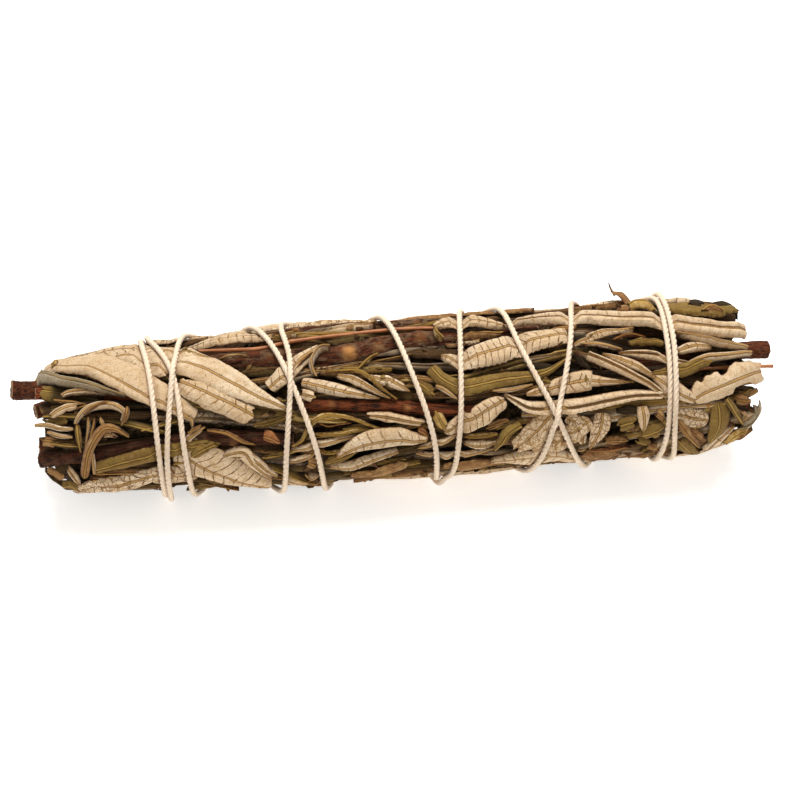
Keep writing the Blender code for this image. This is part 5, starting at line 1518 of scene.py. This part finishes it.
def scatter_group(material):
    """Small things scattered on a mesh, each lying along its surface."""
    tree, start, end = node_group("Scattered Scraps", (
        ("Scrap", "NodeSocketObject"), ("Density", "NodeSocketFloat"),
        ("Smallest", "NodeSocketFloat"), ("Largest", "NodeSocketFloat"),
        ("Tip", "NodeSocketFloat"), ("Seed", "NodeSocketInt")))
    spots = add_node(tree, "GeometryNodeDistributePointsOnFaces",
                     {"Mesh": start["Geometry"], "Density": start["Density"],
                      "Seed": start["Seed"]}, distribute_method="RANDOM")
    scrap = add_node(tree, "GeometryNodeObjectInfo", {"Object": start["Scrap"]})
    turn = add_node(tree, "FunctionNodeRandomValue",
                    {0: (-0.5, -0.5, -math.pi), 1: (0.5, 0.5, math.pi), "Seed": start["Seed"]},
                    data_type="FLOAT_VECTOR")
    tip = add_node(tree, "ShaderNodeCombineXYZ", {"X": start["Tip"], "Y": start["Tip"], "Z": 1.0})
    tipped = add_node(tree, "ShaderNodeVectorMath", {0: turn.outputs[0], 1: tip.outputs[0]},
                      operation="MULTIPLY")
    size = add_node(tree, "FunctionNodeRandomValue",
                    {2: start["Smallest"], 3: start["Largest"], "Seed": start["Seed"]},
                    data_type="FLOAT")
    placed = add_node(tree, "GeometryNodeInstanceOnPoints",
                      {"Points": spots.outputs["Points"], "Instance": scrap.outputs["Geometry"],
                       "Rotation": spots.outputs["Rotation"], "Scale": size.outputs[1]})
    turned = add_node(tree, "GeometryNodeRotateInstances",
                      {"Instances": placed.outputs["Instances"], "Rotation": tipped.outputs[0],
                       "Local Space": True})
    return close_group(tree, end, turned.outputs["Instances"], material)


def knot_paths():
    """The knot at the back as a small trefoil, and the two tails that leave it."""
    along, degrees, lift = KNOT_PLACE
    turn = np.linspace(0, 2 * math.pi, KNOT_STEPS)
    ring = KNOT_LOOP * (np.sin(turn) + 2 * np.sin(2 * turn))
    other = KNOT_LOOP * (np.cos(turn) - 2 * np.cos(2 * turn))
    over = -KNOT_OVER * np.sin(3 * turn)
    around = degrees + np.degrees(other / KNOT_FROM_AXIS)
    paths = [on_bundle(along + ring * KNOT_STRETCH, around, lift + over + KNOT_LIFT)]
    for end_along, end_degrees in KNOT_TAILS:
        share = np.linspace(0, 1, TAIL_STEPS)
        wave = np.sin(share * math.pi * 1.6)
        x = along + (end_along - along) * share
        turn_deg = degrees + (end_degrees - degrees) * share + 3 * wave
        rise = lift - 0.6 * ease(share * 1.6) + 0.25 * wave
        paths.append(on_bundle(x, turn_deg, rise))
    return paths


# Settings.

class SageLeafSettings(bpy.types.PropertyGroup):
    """How the leaves are made."""

    thickness: FloatProperty(
        name="Thickness", description="Thickness of a dried leaf with its felt",
        default=0.00024, min=0.0001, max=0.001, precision=5, unit="LENGTH")
    grain: FloatProperty(
        name="Mesh Spacing", description="Spacing of the mesh of the leaves at the front",
        default=0.00055, min=0.0003, max=0.003, precision=5, unit="LENGTH")
    crumple: FloatProperty(
        name="Crumple", description="Height of the widest crumples of a leaf",
        default=0.00034, min=0.0, max=0.002, precision=5, unit="LENGTH")
    vein_spacing: FloatProperty(
        name="Vein Spacing", description="Distance between the side veins of a leaf",
        default=0.0029, min=0.001, max=0.006, precision=5, unit="LENGTH")
    flakes: FloatProperty(
        name="Flakes", description="Broken flakes on each square metre of the under layer",
        default=22000.0, min=0.0)
    seed: IntProperty(
        name="Seed", description="Start of the random numbers of the drawn leaves",
        default=23, min=0)


class SageStemSettings(bpy.types.PropertyGroup):
    """How the stems and twigs are made."""

    bark_relief: FloatProperty(
        name="Bark Relief", description="Height of the wrinkles of the bark",
        default=0.00026, min=0.0, max=0.001, precision=5, unit="LENGTH")
    seed: IntProperty(
        name="Seed", description="Start of the random numbers of the bark", default=61, min=0)


class SageTwineSettings(bpy.types.PropertyGroup):
    """How the twine is made."""

    plies: IntProperty(
        name="Plies", description="Number of plies twisted together", default=3, min=2, max=4)
    lay: FloatProperty(
        name="Lay", description="Length of one turn of the plies",
        default=0.0052, min=0.001, max=0.02, precision=4, unit="LENGTH")
    ply_radius: FloatProperty(
        name="Ply Radius", description="Radius of one ply",
        default=0.00058, min=0.0001, max=0.002, precision=5, unit="LENGTH")
    ply_offset: FloatProperty(
        name="Ply Offset", description="Distance of each ply from the middle of the twine",
        default=0.00028, min=0.0001, max=0.002, precision=5, unit="LENGTH")
    fuzz: FloatProperty(
        name="Fuzz", description="Loose fibres on each square metre of twine",
        default=350000.0, min=0.0)


class SageStageSettings(bpy.types.PropertyGroup):
    """The floor and the lights."""

    key_power: FloatProperty(
        name="Key Power", description="Power of the main light",
        default=8.2, min=0.0, unit="POWER")
    fill_power: FloatProperty(
        name="Fill Power", description="Power of the light from the front",
        default=1.4, min=0.0, unit="POWER")
    sky_strength: FloatProperty(
        name="Sky Strength", description="Brightness of the white surroundings",
        default=0.5, min=0.0)


# Operators.

def leaf_piece(name, leaves, settings, seed, coarse=1.0):
    """One piece from a group of leaves."""
    sheets = [leaf_sheet(leaf, settings, seed + 31 * number, coarse)
              for number, leaf in enumerate(leaves)]
    return make_piece(name, joined(sheets), leaf_materials(), "leaf_bunch")


class SAGE_OT_heart(bpy.types.Operator):
    """Build the packed heart, painted near black as shade, that closes the gaps between the leaves
    """

    bl_idname = "sage.heart"
    bl_label = "Heart"

    def execute(self, context):
        rings, sides = HEART_RINGS, HEART_SIDES
        along = np.linspace(*HEART_ENDS, rings)[:, None] * np.ones((1, sides))
        degrees = np.linspace(0, 360, sides, endpoint=False)[None, :] * np.ones((rings, 1))
        place = np.stack((along, degrees), axis=-1) / HEART_LUMP_SIZE
        lift = HEART_LUMP * cell_noise(place, 4) - HEART_DEPTH
        points = on_bundle(along, degrees, np.minimum(lift, stem_cap(along, degrees) - 0.2))
        points[..., 2] = np.maximum(points[..., 2], HEART_FLOOR_GAP * MM)
        ends = []
        for end in (0, -1):
            middle = points[end].mean(axis=0)
            ends.append([middle + (points[end] - middle) * share for share in HEART_CAP_SHARES])
        stack = np.array([*ends[0][::-1], *points, *ends[1]])
        grid = np.arange(len(stack) * sides).reshape(-1, sides)
        beside = np.roll(grid, -1, axis=1)
        quads = np.stack((grid[:-1], grid[1:], beside[1:], beside[:-1]), -1).reshape(-1, 4)
        blank = np.zeros(len(stack) * sides)
        sheet = Sheet(stack.reshape(-1, 3), quads, np.zeros(len(quads), int),
                      np.zeros((len(blank), 2)), {"tone": blank})
        make_piece("leaf_heart", sheet, [heart_material()], "leaf_bunch")
        return {"FINISHED"}


class SAGE_OT_front_leaves(bpy.types.Operator):
    """Build the leaves of the front, each in its own place"""

    bl_idname = "sage.front_leaves"
    bl_label = "Front Leaves"

    def execute(self, context):
        settings = context.scene.sage_leaves
        for name, leaves, seed in (("leaves_front_left", LEFT_LEAVES, 100),
                                   ("leaves_front_middle", MIDDLE_LEAVES, 200),
                                   ("leaves_front_right", RIGHT_LEAVES, 300)):
            leaf_piece(name, [seen_leaf(leaf) for leaf in leaves], settings, seed)
        leaf_piece("leaf_lone_tip", [LONE_TIP], settings, 380)
        return {"FINISHED"}


class SAGE_OT_drawn_leaves(bpy.types.Operator):
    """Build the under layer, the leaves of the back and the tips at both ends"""

    bl_idname = "sage.drawn_leaves"
    bl_label = "Under, Back and End Leaves"

    def execute(self, context):
        settings = context.scene.sage_leaves
        forms = {"flat": 18, "veiny": 22, "quilted": 15, "rolled": 25, "grooved": 12, "net": 8}
        slivers = {"flat": 10, "rolled": 36, "grooved": 14, "strap": 30, "net": 10}
        # The under layers draw darker kinds of leaf more often: real leaf colours, weighted darker
        # as painted shade for their depth.
        shade_palette = {"olive": 16, "brown": 36, "pale": 26, "gold": 18, "dark": 4}
        light = {"pale": 66, "olive": 14, "brown": 10, "gold": 6, "grey": 4}
        front = drawn_leaves(UNDER_FRONT_ROWS, settings.seed, (-3.0, -1.1), (1.4, 3.4), shade_palette,
                             slivers)
        leaf_piece("leaves_under_front", front, settings, 400, 1.8)
        under = drawn_leaves(UNDER_BACK_ROWS, settings.seed + 1, (-2.4, -1.0), (3.5, 7.0),
                             shade_palette, forms)
        leaf_piece("leaves_under_back", under, settings, 500, 2.6)
        back = drawn_leaves(BACK_ROWS, settings.seed + 2, (-0.4, 0.9), (2.8, 6.0),
                            light, forms)
        leaf_piece("leaves_back", back, settings, 600, 1.5)
        for name, end, sign, seed in END_TIPS:
            leaf_piece(name, self.end_tips(end, sign, seed), settings, seed, 1.3)
        return {"FINISHED"}

    def end_tips(self, end, sign, seed):
        """The tips of the inner leaves, in rings round one end of the heart."""
        draw = random.Random(seed)
        tips = []
        for radius, count in END_RINGS:
            for number in range(count):
                turn = 360 * (number + draw.uniform(0.1, 0.9)) / count
                reach = draw.uniform(*END_TIP_REACH) - radius * 0.12
                far = end + sign * reach
                near = end - sign * draw.uniform(*END_TIP_ROOT)
                spine = ((near, turn), ((near + far) / 2, turn + draw.uniform(-8, 8)),
                         (far, turn + draw.uniform(-14, 14)))
                if sign < 0:
                    spine = spine[::-1]
                tips.append(Leaf(
                    f"tip_{number}",
                    draw.choices(("pale", "olive", "brown", "gold", "dark"),
                                 (34, 22, 26, 10, 8))[0],
                    draw.choices(("flat", "rolled", "net"), (40, 45, 15))[0],
                    spine, (draw.uniform(*END_TIP_HALVES), draw.uniform(*END_TIP_HALVES)), 0.0,
                    (draw.uniform(-0.8, 0.8), draw.uniform(-0.8, 0.8)),
                    (draw.uniform(0.4, 0.8), draw.uniform(0.4, 0.8)),
                    torn=draw.random() < END_TIP_TORN, radius=radius + draw.uniform(-0.9, 0.9)))
        return tips


class SAGE_OT_flakes(bpy.types.Operator):
    """Scatter small broken flakes of leaf over the under layer"""

    bl_idname = "sage.flakes"
    bl_label = "Flakes"

    def execute(self, context):
        settings = context.scene.sage_leaves
        litter = leaf_materials()[list(SURFACES).index("brown")]
        top = [(x, y, 0.35 - 0.25 * x * x - 0.2 * y) for x, y in FLAKE_OUTLINE]
        points = [(0.0, 0.0, 0.5), *top, (0.0, 0.0, 0.35),
                  *((x, y, z - FLAKE_THICKNESS) for x, y, z in top)]
        faces = []
        for side in range(6):
            one, two = 1 + side, 1 + (side + 1) % 6
            faces += [(0, one, two), (7, two + 7, one + 7), (one, one + 7, two + 7, two)]
        flake = small_object("flake", points, faces, litter)
        host = scene_copy(bpy.data.objects["leaves_under_front"])
        flakes = grown(host, "leaf_flakes", scatter_group(litter),
                       {"Scrap": flake, "Density": settings.flakes, "Smallest": 0.5,
                        "Largest": 1.5, "Tip": 1.0, "Seed": settings.seed})
        bpy.data.objects.remove(flake)
        settle(flakes, "leaf_bunch")
        return {"FINISHED"}


class SAGE_OT_stems(bpy.types.Operator):
    """Build the woody stems and the thin twigs"""

    bl_idname = "sage.stems"
    bl_label = "Stems and Twigs"

    def execute(self, context):
        settings = context.scene.sage_stems
        for number, stem in enumerate(STEMS):
            sheet = stem_sheet(stem, settings, settings.seed + number, STEM_SIDES)
            make_piece(f"{stem.node}_wood", sheet, [bark_material(), wood_material()], stem.node)
        for number, twig in enumerate(TWIGS):
            sheet = stem_sheet(twig, settings, settings.seed + 20 + number, TWIG_SIDES)
            make_piece(f"{twig.node}_wood", sheet, [twig_material(), wood_material()], twig.node)
        return {"FINISHED"}


class SAGE_OT_twine(bpy.types.Operator):
    """Build the twisted cotton twine, its knot and its fuzz"""

    bl_idname = "sage.twine"
    bl_label = "Twine"

    def execute(self, context):
        settings = context.scene.sage_twine
        cotton = twine_material()
        tree = twist_group(cotton)
        values = {"Ply Radius": settings.ply_radius, "Ply Offset": settings.ply_offset,
                  "Lay": settings.lay, "Plies": settings.plies}
        strands = grown(path_object("twine_path", [twine_points(0.75)]), "twine_strands", tree,
                        values)
        knot = grown(path_object("knot_path", knot_paths()), "twine_knot", tree, values)
        fibre = self.fibre(cotton)
        fuzz = grown(scene_copy(strands), "twine_fuzz", scatter_group(cotton),
                     {"Scrap": fibre, "Density": settings.fuzz, "Smallest": 0.5, "Largest": 1.3,
                      "Tip": 1.6, "Seed": 8})
        bpy.data.objects.remove(fibre)
        for piece in (strands, knot, fuzz):
            settle(piece, "twine")
        return {"FINISHED"}

    def fibre(self, material):
        """A loose fibre, a thin bent prism."""
        rings = []
        for step in range(4):
            share = step / 3
            half = FIBRE_HALF_WIDTH * (1 - 0.7 * share)
            x, z = FIBRE_LENGTH * share, FIBRE_BEND * share * (1.2 - share)
            rings.append([(x, half, z), (x, -half, z), (x, 0.0, z + 2 * half)])
        points = [point for ring in rings for point in ring]
        faces = [(0, 1, 2), (9, 11, 10)]
        for step in range(3):
            for side in range(3):
                other = (side + 1) % 3
                faces.append((3 * step + side, 3 * step + 3 + side, 3 * step + 3 + other,
                              3 * step + other))
        return small_object("fibre", points, faces, material)


def small_object(name, points, faces, material):
    """A small closed mesh object, given in mm, with its faces pointing outwards."""
    mesh = bpy.data.meshes.new(name)
    mesh.from_pydata([Vector(point) * MM for point in points], [], faces)
    shaped = bmesh.new()
    shaped.from_mesh(mesh)
    bmesh.ops.recalc_face_normals(shaped, faces=shaped.faces)
    shaped.to_mesh(mesh)
    shaped.free()
    mesh.materials.append(material)
    thing = bpy.data.objects.new(name, mesh)
    bpy.context.scene.collection.objects.link(thing)
    return thing


class SAGE_OT_stage(bpy.types.Operator):
    """Set up the paper floor, the soft lights and the camera"""

    bl_idname = "sage.stage"
    bl_label = "Stage"

    def execute(self, context):
        settings = context.scene.sage_stage
        scene = context.scene
        floor = small_object(
            "floor", [(x * FLOOR_HALF, y * FLOOR_HALF, z) for z in (-FLOOR_DEPTH, 0)
                      for x, y in ((-1, -1), (1, -1), (1, 1), (-1, 1))],
            [(0, 1, 2, 3), (4, 5, 6, 7), (0, 1, 5, 4), (1, 2, 6, 5), (2, 3, 7, 6), (3, 0, 4, 7)],
            floor_material())
        world = bpy.data.worlds.new("white_room")
        world.use_nodes = True
        sky = world.node_tree.nodes["Background"]
        sky.inputs["Color"].default_value = (1.0, 0.985, 0.96, 1)
        sky.inputs["Strength"].default_value = settings.sky_strength
        scene.world = world
        self.area_light("key", KEY_PLACE, KEY_SIZE, settings.key_power)
        self.area_light("fill", FILL_PLACE, FILL_SIZE, settings.fill_power)
        scene.camera = self.camera()
        scene.view_settings.view_transform = "Standard"
        return {"FINISHED"}

    def area_light(self, name, place, size, power):
        """A soft square light aimed at the bundle."""
        light = bpy.data.lights.new(name, "AREA")
        light.size = size
        light.energy = power
        lamp = bpy.data.objects.new(name, light)
        lamp.location = place
        aim = Vector(AXIS) * MM - lamp.location
        lamp.rotation_euler = aim.to_track_quat("-Z", "Y").to_euler()
        bpy.context.scene.collection.objects.link(lamp)

    def camera(self):
        """The camera of the photograph."""
        data = bpy.data.cameras.new("camera")
        data.lens = CAMERA_LENS
        data.sensor_width = CAMERA_SENSOR
        data.clip_start = 0.01
        made = bpy.data.objects.new("camera", data)
        axes = Matrix(camera_axes()).transposed().to_4x4()
        made.matrix_world = Matrix.Translation(Vector(AXIS) * MM + camera_place()) @ axes
        bpy.context.scene.collection.objects.link(made)
        return made


class SAGE_PT_panel(bpy.types.Panel):
    """The settings and builders of the sage bunch"""

    bl_idname = "SAGE_PT_panel"
    bl_label = "Sage Bunch"
    bl_space_type = "VIEW_3D"
    bl_region_type = "UI"
    bl_category = "Sage Bunch"

    def draw(self, context):
        layout = self.layout
        layout.use_property_split = True
        for title, settings, operators in PANEL_GROUPS:
            box = layout.box()
            box.label(text=title)
            group = getattr(context.scene, settings)
            for name in group.bl_rna.properties.keys():
                if name not in ("rna_type", "name"):
                    box.prop(group, name)
            for operator in operators:
                box.operator(operator)


PANEL_GROUPS = (
    ("Leaves", "sage_leaves", ("sage.heart", "sage.front_leaves", "sage.drawn_leaves",
                               "sage.flakes")),
    ("Stems", "sage_stems", ("sage.stems",)),
    ("Twine", "sage_twine", ("sage.twine",)),
    ("Stage", "sage_stage", ("sage.stage",)),
)
SETTINGS = (
    ("sage_leaves", SageLeafSettings),
    ("sage_stems", SageStemSettings),
    ("sage_twine", SageTwineSettings),
    ("sage_stage", SageStageSettings),
)
OPERATORS = (SAGE_OT_stage, SAGE_OT_heart, SAGE_OT_front_leaves, SAGE_OT_drawn_leaves,
             SAGE_OT_flakes, SAGE_OT_stems, SAGE_OT_twine)


def register():
    """Registers the settings, operators and panel."""
    for name, kind in SETTINGS:
        bpy.utils.register_class(kind)
        setattr(bpy.types.Scene, name, PointerProperty(type=kind))
    for kind in (*OPERATORS, SAGE_PT_panel):
        bpy.utils.register_class(kind)


def unregister():
    """Takes the panel, operators and settings away."""
    for kind in (SAGE_PT_panel, *reversed(OPERATORS)):
        bpy.utils.unregister_class(kind)
    for name, kind in reversed(SETTINGS):
        delattr(bpy.types.Scene, name)
        bpy.utils.unregister_class(kind)


def main():
    """Builds the whole scene."""
    register()
    bpy.ops.sage.stage()
    bpy.ops.sage.heart()
    bpy.ops.sage.front_leaves()
    bpy.ops.sage.drawn_leaves()
    bpy.ops.sage.flakes()
    bpy.ops.sage.stems()
    bpy.ops.sage.twine()


if __name__ == "__main__":
    main()
